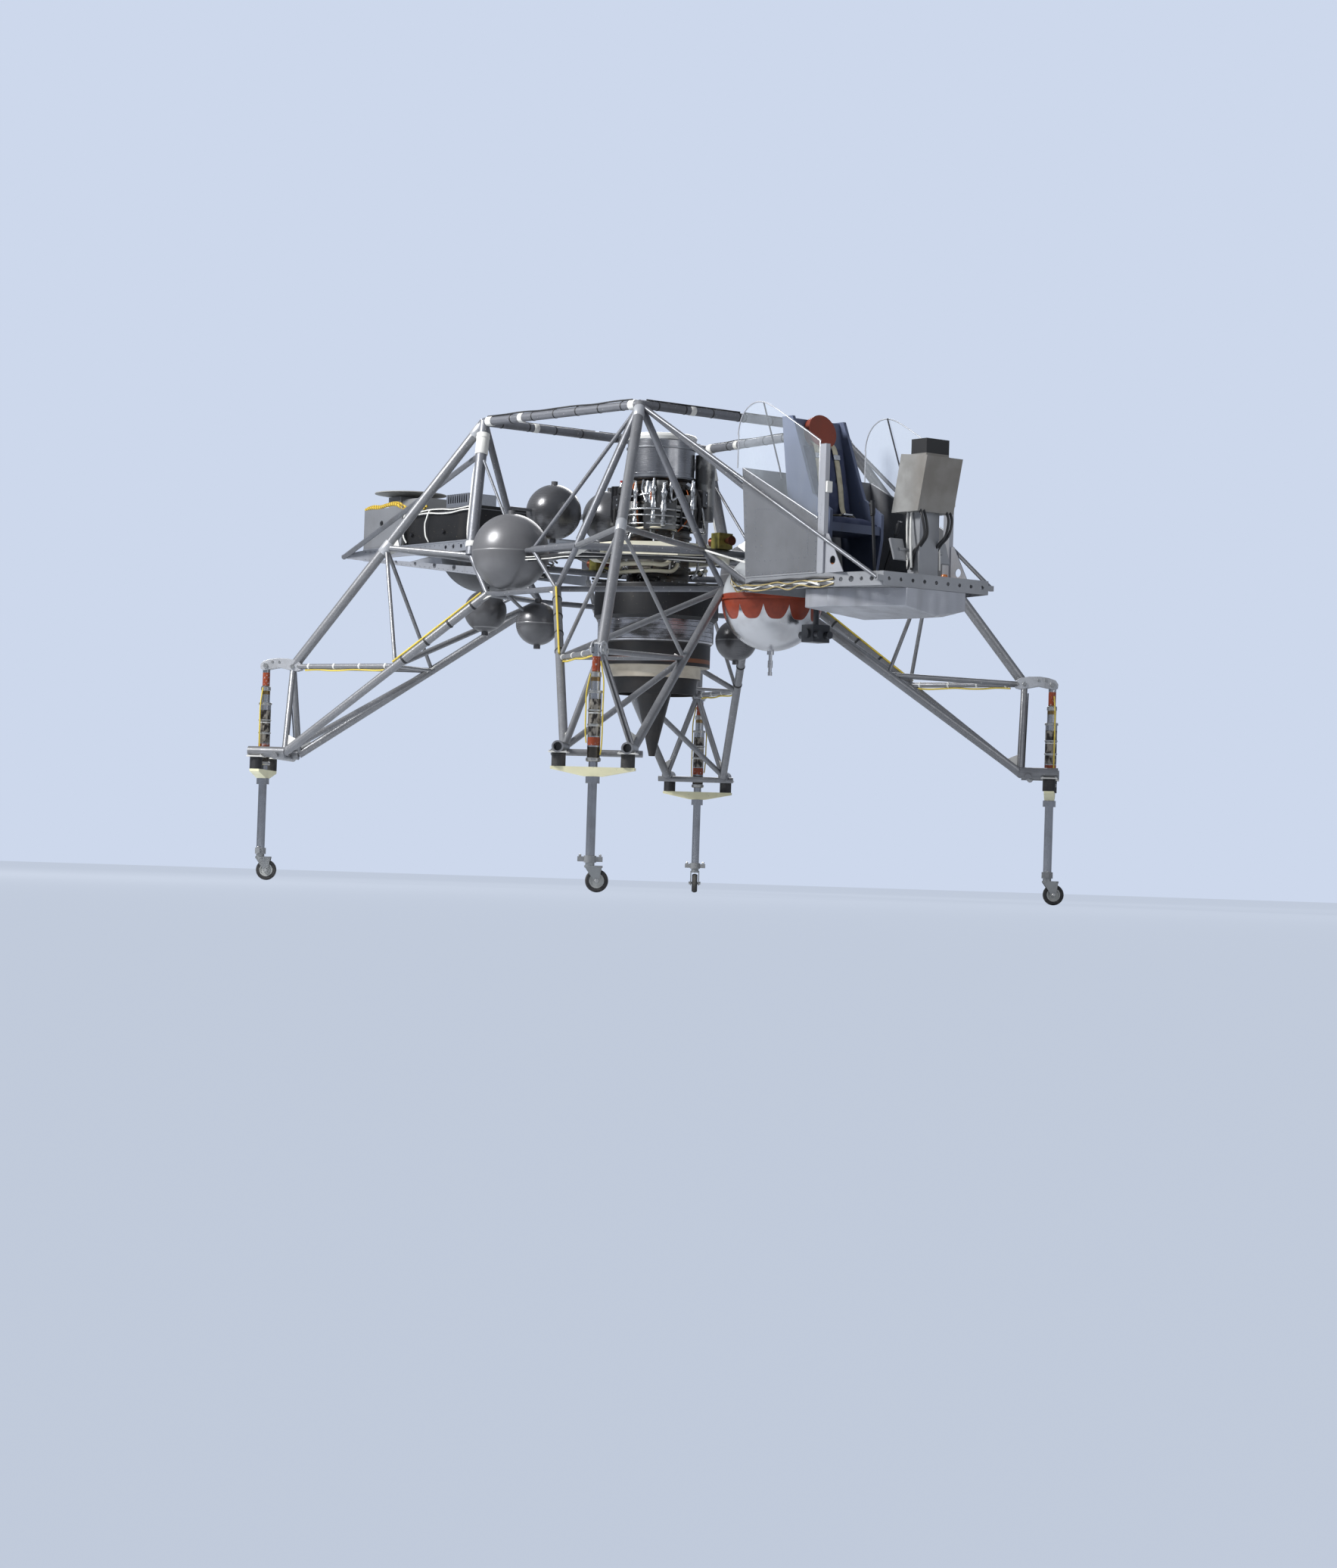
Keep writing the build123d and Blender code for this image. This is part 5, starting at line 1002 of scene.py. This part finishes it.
fairing = Finish("fairing_sheet")
dent = fairing.noise(3.4, detail=2.0)
streak = fairing.noise(8.0, (1, 1, 0.1), 4.0)
marks = fairing.noise(260.0, (1, 0.03, 1), 2.0)
tone = fairing.mix(streak.step(0.4, 0.75) * 0.5, tint(176, 178, 184), tint(122, 122, 124))
fairing.done(tone, 0.34 + (streak - 0.5) * 0.2, 0.6, dent * 6 + marks * 0.2, 0.004)
dress(fairing.material, "floor_fairing")

window = Finish("window_clear")
haze = window.noise(6.0, (1, 1, 0.3), 4.0)
wiped = window.noise(60.0, (1, 1, 0.05), 2.0)
window_tone = window.mix(haze, tint(226, 234, 240), tint(200, 210, 220))
clear = 0.07 + haze.step(0.4, 0.8) * 0.07 + wiped * 0.02
window.done(window_tone, 0.08 + haze * 0.1, 0.0, haze, 0.0006, Alpha=clear, IOR=1.45)
dress(window.material, "side_windows")

def front_line(points, y):
    """Points of (x, z) stood at one distance y to port."""
    points = np.asarray(points, float)
    return np.stack([points[:, 0], np.full(len(points), float(y)), points[:, 1]], axis=-1)


# The fairing is one folded sheet: upright sides, two shallow bottom slopes that meet in a keel
# fold, and upright ends. It narrows towards the nose.
tray_rows = []
for x, half in ((2.625, 0.52), (2.85, 0.515), (3.345, 0.262)):
    tray_rows.append([(x, -half, 2.0567), (x, -half, 1.934), (x, 0.0, 1.886), (x, half, 1.934),
                      (x, half, 2.0567)])
tray = soften(grid_mesh("fairing_tray", [np.array(tray_rows)], fairing.material, crease=15.0), 0.004)
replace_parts(fit(tray, "airframe"), "floor_fairing")

# Each window is a bent sheet of clear plastic with an upright rear edge, an arched top that falls
# almost straight to the front post, and a pale sealing strip round its edge.
window_arch = smooth([(1.925, 3.14), (1.936, 3.2), (1.962, 3.262), (2.01, 3.312), (2.075, 3.343),
                      (2.15, 3.35), (2.24, 3.328),
                      (2.36, 3.272), (2.53, 3.18), (2.68, 3.1), (2.799, 3.035)], 4)
sill_ends = np.array([[1.925, 2.9063], [1.985, 2.9063], [2.799, 2.5143]])


def window_sill(x):
    """The height of a window's lower edge, along the top of the side panel."""
    return np.interp(x, sill_ends[:, 0], sill_ends[:, 1])


sheets, rims, rods = [], [], []
for aside in (-1, 1):
    faces = []
    for y in (0.5652, 0.5728):
        columns = [front_line([(x, window_sill(x) + (top - window_sill(x)) * t)
                               for t in np.linspace(0, 1, 7)], y * aside) for x, top in window_arch]
        faces.append(np.array(columns))
    outer, inner = faces[1], faces[0]
    if aside == 1:
        outer, inner = inner, outer
    sheets.append(np.concatenate([outer, inner[:, ::-1]], axis=1))
    edge = np.vstack([window_arch, [[2.799, 2.56]]])
    rims.append(tube(front_line(edge * [0.9985, 0.998], 0.5715 * aside), 0.0042, 8))
    rims.append(tube(front_line([(1.9285, 2.91), (1.9285, 3.14)], 0.5715 * aside), 0.0042, 8))
    rods.append(tube(front_line([(2.167, 3.343), (2.362, 2.874), (2.385, 2.80)], 0.556 * aside), 0.0055,
                     10))
clear_sheets = grid_mesh("clear_windows", sheets, window.material)
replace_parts(fit(clear_sheets, "airframe"), "side_windows")
fit(grid_mesh("window_rims", rims, post_grey), "airframe")
rod_dark = enamel("rod_dark", tint(60, 62, 68), 0.4, 0.15, 0.3, 0.3)
fit(grid_mesh("window_rods", rods, rod_dark), "airframe")

# Flush rivets and a folded seam strip run along the edges of the side panels.
rivets, seams = [], []
for aside in (-1, 1):
    out = (0, aside, 0)
    face = 0.5752
    runs = [((2.075, 2.19), (2.005, 2.87), 16), ((2.02, 2.875), (2.775, 2.51), 20),
            ((2.78, 2.49), (2.78, 2.19), 8), ((2.1, 2.17), (2.76, 2.17), 16)]
    for first, last, count in runs:
        line = part_way(first, last, np.linspace(0, 1, count))
        rivets += studs(front_line(line, face * aside), out, 0.0042, 0.0022, 8)
    door = np.array([(2.16, 2.26), (2.135, 2.62), (2.36, 2.6), (2.52, 2.52), (2.70, 2.43), (2.70, 2.26)])
    for first, last in zip(door, np.roll(door, -1, 0)):
        rivets += studs(front_line(part_way(first, last, np.linspace(0.06, 0.94, 9)), face * aside), out,
                        0.0034, 0.0018, 8)
    seams.append(tube(front_line([(2.0, 2.902), (2.797, 2.517)], 0.576 * aside), 0.0055, 8))
    seams.append(tube(front_line([(2.06, 2.155), (2.8, 2.155)], 0.576 * aside), 0.005, 8))
rivet_grey = enamel("rivet_grey", tint(122, 126, 134), 0.36, 0.1, 0.3, 0.3)
fit(grid_mesh("panel_rivets", rivets, rivet_grey), "airframe")
fit(grid_mesh("panel_edges", seams, beam_grey), "airframe")

# Wires in three colours are laced along the floor beam under each panel and round to the bow.
wire_tan = enamel("wire_tan", tint(168, 150, 98), 0.5, 0.2, 0.5)
wire_table = [
    # thickness, how far below the panel, how far out, depth of its sag, material
    (0.0085, 0.034, 0.580, 0.004, strap_black),
    (0.0052, 0.052, 0.582, 0.009, wire_tan),
    (0.0048, 0.066, 0.579, 0.012, strap_white),
    (0.0080, 0.078, 0.576, 0.007, strap_black),
    (0.0048, 0.086, 0.583, 0.014, wire_tan),
]
for row, (thick, drop, out, sag, material) in enumerate(wire_table):
    lines = []
    for aside in (-1, 1):
        x = np.array([1.55, 1.66, 1.79, 1.92, 2.05, 2.16, 2.28, 2.40, 2.52, 2.64, 2.76, 2.86, 2.95])
        sway = sag * np.sin(x * 21 + row * 2.1) - 0.01 * np.clip(2.3 - x, 0, 1)
        inward = np.array([0.30, 0.2, 0.11, 0.05, 0.012, 0.0, 0.0, 0.0, 0.0, 0.0, 0.0, 0.008, 0.03])
        lift = np.array([0.13, 0.10, 0.05, 0.02, 0, 0, 0, 0, 0, 0, 0, 0, 0])
        y = out + 0.003 * np.cos(x * 17 + row) - inward
        lines.append(tube(smooth(np.column_stack([x, y * aside, 2.152 - drop + sway + lift]), 6), thick, 8))
    fit(grid_mesh(f"beam_wires_{row}", lines, material), "airframe")

# A thin white brace runs from the frame to the cockpit's tray, past a small triangular plate.
braces = [tube(np.array([(1.43, 0.447 * aside, 2.386), (2.849, 0.589 * aside, 2.07)]), 0.0075, 12)
          for aside in (-1, 1)]
fins = []
for aside in (-1, 1):
    corners = front_line([(2.045, 2.405), (1.965, 2.37), (2.045, 2.33)], 0.0)
    fins.append(np.array([corners + [0, 0.5752 * aside, 0], corners + [0, 0.5792 * aside, 0]]))
fit(grid_mesh("tray_braces", braces, strap_white), "airframe")
fit(grid_mesh("side_fins", fins, strap_white), "airframe")

# Two small lamps: an amber one under the panel's front corner, a white one on the bow post.
amber = enamel("amber_lens", tint(214, 122, 52), 0.2, 0.08, 0.1)
lamp_shape = [(0.001, -0.012), (0.02, -0.012), (0.024, 0.0), (0.024, 0.022), (0.019, 0.034), (0.001, 0.038)]
lens = [lathe(lamp_shape, (2.865, 0.50 * aside, 2.185), 24) for aside in (-1, 1)]
fit(grid_mesh("amber_lamps", lens, amber), "airframe")
base = [lathe([(0.001, -0.03), (0.03, -0.03), (0.03, -0.012), (0.001, -0.012)],
              (2.865, 0.50 * aside, 2.185), 24) for aside in (-1, 1)]
base += [brick((2.855, 0.548 * aside, 2.72), (0.05, 0.045, 0.075)) for aside in (-1, 1)]
fit(soften(grid_mesh("lamp_bases", base, strap_white), 0.004), "airframe")

# ---- Seat, headrest and console ----
seat_paint = enamel("seat_blue", tint(88, 98, 124), 0.45, 0.14, 0.3)
dress(seat_paint, "seat")
dress(enamel("headrest_orange", tint(130, 52, 28), 0.5, 0.14, 0.2), "headrest")
console_paint = Finish("console_paint")
brush = console_paint.noise(240.0, (1, 1, 0.05), 2.0)
sheen = console_paint.noise(5.0, detail=4.0)
visor = console_paint.axis("Z").step(2.957, 2.959)
# The console's forward face is painted a darker tan-grey: painted shade with a warm painted reflection.
painted_nose_shade = console_paint.axis("X").step(3.2, 3.36)
tone = console_paint.mix(sheen.step(0.35, 0.65), tint(158, 158, 156), tint(134, 133, 130))
tone = console_paint.mix(painted_nose_shade * 0.5, tone, tint(112, 104, 94))
tone = console_paint.mix(visor, tone, tint(20, 20, 22))
console_paint.done(tone, 0.4 + (brush - 0.5) * 0.2, 0.35 * (1 - visor), brush * 0.5 + sheen * 0.3, 0.0006)
dress(console_paint.material, "instrument_console")
dress(enamel("stick_dark", tint(52, 54, 58), 0.45, 0.2, 0.3, 0.3), "control_sticks")
dress(enamel("valve_grey", tint(70, 72, 76), 0.4, 0.25, 0.5, 0.5), "valve_cluster")

def pillow(corner, along, over, up, rows=15, columns=15, channels=4, plump=0.022):
    """A closed cushion: a top that rises like a cosine hill cut by sewn channels, and a flat back.
    corner + s along + t over + plump (cos hill)(1 - channel) up, for s and t from 0 to 1."""
    s, t = np.meshgrid(np.linspace(0, 1, rows), np.linspace(0, 1, columns), indexing="ij")
    hill = (1 - (2 * s - 1) ** 6) * (1 - (2 * t - 1) ** 6)
    channel = np.abs(np.cos(np.pi * channels * s)) ** 0.35
    height = 0.028 + plump * hill * (0.55 + 0.45 * np.sqrt(1 - np.clip(1 - channel, 0,
                                                                       1) ** 2)) - 0.02 * (1 - hill)
    top = corner + s[..., None] * along + t[..., None] * over + height[..., None] * up
    bottom = corner + s[..., None] * along + t[..., None] * over + 0.0 * up
    return np.concatenate([top, bottom[:, ::-1]], axis=1)


# Two navy cloth cushions with sewn channels lie on the pan and lean on the back plate.
cloth = Finish("navy_cloth")
weave = cloth.axis("X").wave(0.0022) * 0.5 + cloth.axis("Y").wave(0.0022) * 0.5 + cloth.axis("Z").wave(0.0022) * 0.5
worn = cloth.noise(12.0, detail=5.0)
fuzz = cloth.noise(700.0, detail=1.0)
tone = cloth.mix(worn.step(0.4, 0.75) * 0.5, tint(52, 60, 88), tint(88, 96, 120))
cloth.done(tone, 0.86, 0.0, weave * 0.5 + fuzz * 0.3, 0.0005)
back_lean = unit((-0.224, 0.0, 0.975))
back_out = np.array([0.975, 0.0, 0.224])
pan_pillow = pillow(np.array([2.25, -0.2, 2.5415]), np.array([0.25, 0.0, 0.0]), np.array([0.0, 0.4, 0.0]),
                    np.array([0, 0, 1.0]), channels=5)
back_foot = np.array([2.228, -0.195, 2.60]) + back_out * 0.001
back_pillow = pillow(back_foot, back_lean * 0.50, np.array([0.0, 0.39, 0.0]), back_out, 27, 15, 7)
pan_cushion = grid_mesh("pan_cushion", [pan_pillow], cloth.material, crease=70.0)
back_cushion = grid_mesh("back_cushion", [back_pillow], cloth.material, crease=70.0)

fit(pan_cushion, "airframe")
fit(back_cushion, "airframe")

# Harness straps of woven webbing run over the back cushion and across the lap, and small square
# buckles join them.
webbing = Finish("harness_webbing")
ribs = webbing.axis("Z").wave(0.004) * 0.5 + webbing.axis("X").wave(0.004) * 0.5
wear = webbing.noise(20.0, detail=4.0)
tone = webbing.mix(wear.step(0.4, 0.7) * 0.6, tint(196, 190, 168), tint(150, 142, 120))
webbing.done(tone, 0.8, 0.0, ribs * 0.6 + wear * 0.2, 0.0005)


def strap(path, side, width=0.045):
    """A flat ribbon along a path: two columns of points, half a width to each side of it."""
    line = smooth(path, 8)
    half = unit(side) * width / 2
    return np.stack([line - half, line + half], axis=1)


def back_spot(along, y, out):
    """A point by its distance up the back plate, its side and its distance out from the plate."""
    return np.array([2.228, y, 2.60]) + back_lean * along + back_out * out


webs = []
for aside in (-1, 1):
    over = [back_spot(0.62, 0.07 * aside, 0.004), back_spot(0.55, 0.075 * aside, 0.012),
            back_spot(0.49, 0.08 * aside, 0.048), back_spot(0.36, 0.085 * aside, 0.058),
            back_spot(0.2, 0.085 * aside, 0.059), back_spot(0.06, 0.08 * aside, 0.057),
            (2.33, 0.07 * aside, 2.602), (2.40, 0.045 * aside, 2.602)]
    webs.append(("shoulder", over, (0, 1, 0)))
    lap = [(2.29, 0.196 * aside, 2.575), (2.30, 0.17 * aside, 2.598), (2.34, 0.12 * aside, 2.604),
           (2.40, 0.05 * aside, 2.606)]
    webs.append(("lap", lap, (1, 0, 0)))
for count, (kind, path, side) in enumerate(webs):
    ribbon = strap(path, side)
    piece = grid_mesh(f"{kind}_strap_{count}", [ribbon], webbing.material, round_columns=False)
    thick = piece.modifiers.new("webbing", "SOLIDIFY")
    thick.thickness = 0.0022
    thick.offset = 0.0
    fit(piece, "airframe")
    "back_cushion" if kind == "shoulder" else "pan_cushion"
buckles = [brick(back_spot(0.42, 0.083 * aside, 0.062), (0.012, 0.056, 0.038), 0.0, -0.226)
           for aside in (-1, 1)]
buckles.append(brick((2.402, 0.0, 2.609), (0.075, 0.075, 0.014)))
buckle_steel = bare_metal("buckle_steel", tint(190, 192, 194), 0.24, (1, 1, 0.2), 0.2)
fit(soften(grid_mesh("harness_buckles", buckles, buckle_steel), 0.004), "airframe")

# The instrument console carries a black panel of dials under its hood, each dial a bezel, a dark
# face and a pale needle, with switches in rows below.
console_foot, console_top = np.array([3.055, 0.0, 2.5706]), np.array([3.135, 0.0, 2.9556])
face_up = unit(console_top - console_foot)
face_out = np.array([-face_up[2], 0.0, face_up[0]])


def on_console(up, across, out):
    """A point by its distance up the console's face, across it to port and out towards the seat."""
    return console_foot + face_up * up + np.array([0.0, across, 0.0]) + face_out * out


def disc_on(spot, radius, low, high, sides=24):
    """A short round disc on the console's face."""
    rise = np.array([low, high - 0.001, high])[:, None] * face_out
    return tube(spot + rise, np.array([radius, radius, radius - 0.001]), sides)


dial_rows = [
    # up, across, radius
    (0.315, -0.085, 0.036), (0.315, 0.0, 0.042), (0.315, 0.085, 0.036),
    (0.225, -0.095, 0.03), (0.225, -0.02, 0.034), (0.225, 0.06, 0.034), (0.15, -0.085, 0.027),
    (0.15, -0.02, 0.027), (0.15, 0.045, 0.027),
]
plate_pitch = np.arctan2(face_up[0], face_up[2])
plates = [brick(on_console(0.2, 0.0, -0.022), (0.012, 0.282, 0.35), 0.0, plate_pitch)]
bezels, faces, needles, knobs = [], [], [], []
for up, across, radius in dial_rows:
    spot = on_console(up, across, -0.016)
    bezels.append(disc_on(spot, radius, -0.004, 0.004))
    faces.append(disc_on(spot, radius - 0.005, 0.002, 0.0048))
    turn = 40.0 * up / 0.1 + across * 300
    tip = np.array([np.cos(turn), np.sin(turn)]) * (radius - 0.009)
    ends = np.array([spot + face_out * 0.0056,
                     spot + face_out * 0.0056 + face_up * tip[1] + np.array([0, tip[0], 0])])
    needles.append(tube(ends, 0.0016, 6))
for up in (0.045, 0.085):
    for across in np.arange(-0.12, 0.13, 0.03):
        knobs.append(disc_on(on_console(up, across, -0.016), 0.006, -0.002, 0.012, 10))
dial_black = enamel("dial_black", tint(26, 26, 29), 0.36, 0.1, 0.1)
bezel_grey = enamel("bezel_grey", tint(120, 122, 126), 0.32, 0.1, 0.15, 0.4)
fit(soften(grid_mesh("dial_plate", plates, dial_black), 0.002), "airframe")
fit(grid_mesh("dial_bezels", bezels, bezel_grey), "airframe")
fit(grid_mesh("dial_faces", faces, dial_black), "airframe")
fit(grid_mesh("dial_needles", needles + knobs, strap_white), "airframe")

# White signal rods and a bundle of cable stand beside the console's pedestal, and the sticks end
# in ribbed black grips.
rods_by = [tube(smooth([(3.20 + dx, y, 2.2), (3.19 + dx, y, 2.34), (3.17 + dx, y * 0.9, 2.46),
                        (3.16 + dx, y * 0.8, 2.575)], 6), 0.008, 10)
           for dx, y in ((-0.02, 0.11), (0.03, 0.125), (-0.02, -0.11), (0.03, -0.125))]
fit(grid_mesh("signal_rods", rods_by, strap_white), "airframe")
loops = [tube(smooth([(3.30, y, 2.60), (3.335, y, 2.52), (3.33, y * 0.8, 2.42), (3.27, y * 0.7, 2.36),
                      (3.22, y * 0.8, 2.3), (3.2, y, 2.19)], 6), 0.009, 8)
         for y in (-0.13, -0.1, 0.1, 0.13)]
fit(grid_mesh("console_cables", loops, strap_black), "airframe")
grips = []
for foot, top, size in (((2.685, 0.0, 2.585), (2.667, 0.0, 2.685), 0.017),
                        ((2.55, 0.33, 2.49), (2.578, 0.33, 2.57), 0.015)):
    line = part_way(foot, top, np.linspace(0, 1, 14))
    swell = np.array([0.8, 1.0, 0.9, 1.0, 0.88, 1.0, 0.88, 1.0, 0.9, 1.05, 1.15, 1.15, 1.0, 0.6]) * size
    grips.append(tube(line, swell, 16))
fit(grid_mesh("stick_grips", grips, strap_black), "airframe")

# ---- Aft platform ----
platform_paint = enamel("platform_paint", tint(160, 163, 170), 0.38, 0.12, 0.35, 0.4)
dress(platform_paint, "platform_beams")
dress(enamel("deck_paint", tint(146, 150, 158), 0.42, 0.1, 0.35, 0.2), "platform_deck")
dress(enamel("stand_paint", tint(148, 150, 152), 0.42, 0.12, 0.3, 0.1), "antenna_stand")
dress(enamel("bay_paint", tint(128, 130, 134), 0.38, 0.14, 0.3, 0.25), "bay_panels")
dress(enamel("disc_paint", tint(158, 158, 154), 0.5, 0.08, 0.25), "antenna_disc")
dress(enamel("box_black", tint(15, 15, 17), 0.5, 0.2, 0.2), "avionics_box")
dress(enamel("pod_black", tint(40, 42, 46), 0.34, 0.2, 0.35, 0.1), "equipment_pod")
dress(bare_metal("radio_alloy", tint(186, 188, 192), 0.3, (1, 1, 0.05), 0.3), "finned_unit")

# Rivets run along the platform's beams, and rounded strips close their upper and lower edges. The
# lower edge climbs towards the tail.
def beam_foot(x):
    """Height of the side beam's lower edge: a straight line from 2.30 m in front to 2.585 m at the tip."""
    return 2.30 + (-0.965 - x) * 0.285 / 2.43


rail_rivets, edges = [], []
for aside in (-1, 1):
    for x in np.arange(-3.04, -1.0, 0.065):
        rail_rivets += studs([(x, 0.3425 * aside, 2.612), (x, 0.3425 * aside, beam_foot(x) + 0.012)],
                             (0, aside, 0), 0.0042, 0.003, 8)
    edges.append(tube(front_line([(-3.07, 2.634), (-0.97, 2.634)], 0.343 * aside), 0.006, 8))
    edges.append(tube(front_line([(-3.07, beam_foot(-3.07) + 0.004), (-0.97, beam_foot(-0.97) + 0.004)],
                                 0.343 * aside), 0.006, 8))
fit(grid_mesh("beam_rivets", rail_rivets, rivet_grey), "airframe")
fit(grid_mesh("beam_edges", edges, platform_paint), "airframe")

# A lacquer-taped bundle of cables runs over the bay, with white coaxial loops and plugs on the
# avionics box's sides and end.
tape_yellow = Finish("tape_yellow")
wraps = (tape_yellow.axis("X") + tape_yellow.axis("Z") * 0.6).wave(0.03)
soil = tape_yellow.noise(22.0, detail=4.0)
tone = tape_yellow.mix(wraps.step(0.42, 0.5), tint(206, 178, 60), tint(150, 122, 44))
tone = tape_yellow.mix(soil.step(0.5, 0.8) * 0.5, tone, tint(96, 80, 44))
tape_yellow.done(tone, 0.5 + (soil - 0.5) * 0.2, 0.0, wraps * 0.6, 0.0015)
bundles, coax, plugs = [], [], []
for aside in (-1, 1):
    path = [(-3.07, 0.333 * aside, 2.953), (-2.98, 0.338 * aside, 2.961), (-2.88, 0.336 * aside, 2.955),
            (-2.78, 0.34 * aside, 2.965), (-2.68, 0.336 * aside, 2.972),
            (-2.60, 0.34 * aside, 2.96), (-2.52, 0.325 * aside, 2.925), (-2.42, 0.31 * aside, 2.935),
            (-2.32, 0.27 * aside, 2.925)]
    bundles.append(tube(smooth(path, 8), 0.0125, 12))
    bundles.append(tube(smooth(np.array(path) * [0.999, 0.985, 1.002] + [0.02, 0.0, 0.008], 8), 0.009, 10))
    for x, top, foot in ((-2.545, 2.93, 2.61), (-2.52, 2.94, 2.66), (-2.21, 2.905, 2.65)):
        loop = [(x + 0.03, 0.27 * aside, top), (x + 0.012, 0.31 * aside, top - 0.01),
                (x, 0.332 * aside, top - 0.08), (x - 0.012, 0.335 * aside, 0.5 * (top + foot)),
                (x, 0.333 * aside, foot + 0.05), (x + 0.02, 0.318 * aside, foot)]
        coax.append(tube(smooth(loop, 8), 0.006, 8))
    for x in (-2.44, -2.0, -1.64):
        plugs += studs([(x, 0.3005 * aside, 2.72)], (0, aside, 0), 0.015, 0.02, 16)
    for height, shift in ((2.895, 0.0), (2.868, 0.012)):
        x = np.array([-2.5, -2.36, -2.2, -2.04, -1.9, -1.74, -1.6, -1.53])
        sag = 0.008 * np.sin(x * 11 + shift * 90)
        y = (0.308 + shift + 0.004 * np.cos(x * 8)) * aside
        coax.append(tube(smooth(np.column_stack([x, y, height + sag]), 6), 0.0055, 8))
fit(grid_mesh("bay_bundles", bundles, tape_yellow.material), "airframe")
fit(grid_mesh("coaxial_loops", coax, strap_white), "airframe")
fit(grid_mesh("box_plugs", plugs, dial_black), "airframe")

# The avionics box has a lid seam and screwed corners; black wire bundles pass under the deck to
# the frame, and a thin rod aerial hangs from the pod.
lid = [tube(np.array([(-2.527, -0.302, 2.872), (-1.543, -0.302, 2.872)]), 0.004, 6),
       tube(np.array([(-2.527, 0.302, 2.872), (-1.543, 0.302, 2.872)]), 0.004, 6),
       tube(np.array([(-2.527, -0.302, 2.872), (-2.527, 0.302, 2.872)]), 0.004, 6),
       tube(np.array([(-1.543, -0.302, 2.872), (-1.543, 0.302, 2.872)]), 0.004, 6)]
fit(grid_mesh("lid_seams", lid, bezel_grey), "airframe")
lid_screws = studs([(x, y, 2.9005) for x in np.linspace(-2.5, -1.57, 8) for y in (-0.285, 0.285)],
                   (0, 0, 1), 0.007, 0.004, 12)
fit(grid_mesh("lid_screws", lid_screws, bolt_steel), "airframe")
under = []
for aside in (-1, 1):
    for row in range(3):
        path = [(-0.99, (0.29 - 0.03 * row) * aside, 2.57 - 0.03 * row),
                (-0.8, (0.33 - 0.03 * row) * aside, 2.50 - 0.03 * row),
                (-0.6, (0.3 - 0.02 * row) * aside, 2.45 - 0.03 * row),
                (-0.45, (0.34 + 0.04 * row) * aside, 2.40 - 0.02 * row)]
        under.append(tube(smooth(path, 6), 0.008, 8))
fit(grid_mesh("platform_cables", under, strap_black), "airframe")
aerial = [tube(np.array([(-1.84, 0.0, 2.278), (-1.84, 0.0, 2.25), (-1.88, 0.0, 1.98)]),
               np.array([0.012, 0.006, 0.003]), 10)]
fit(grid_mesh("rod_aerial", aerial, strap_black), "airframe")
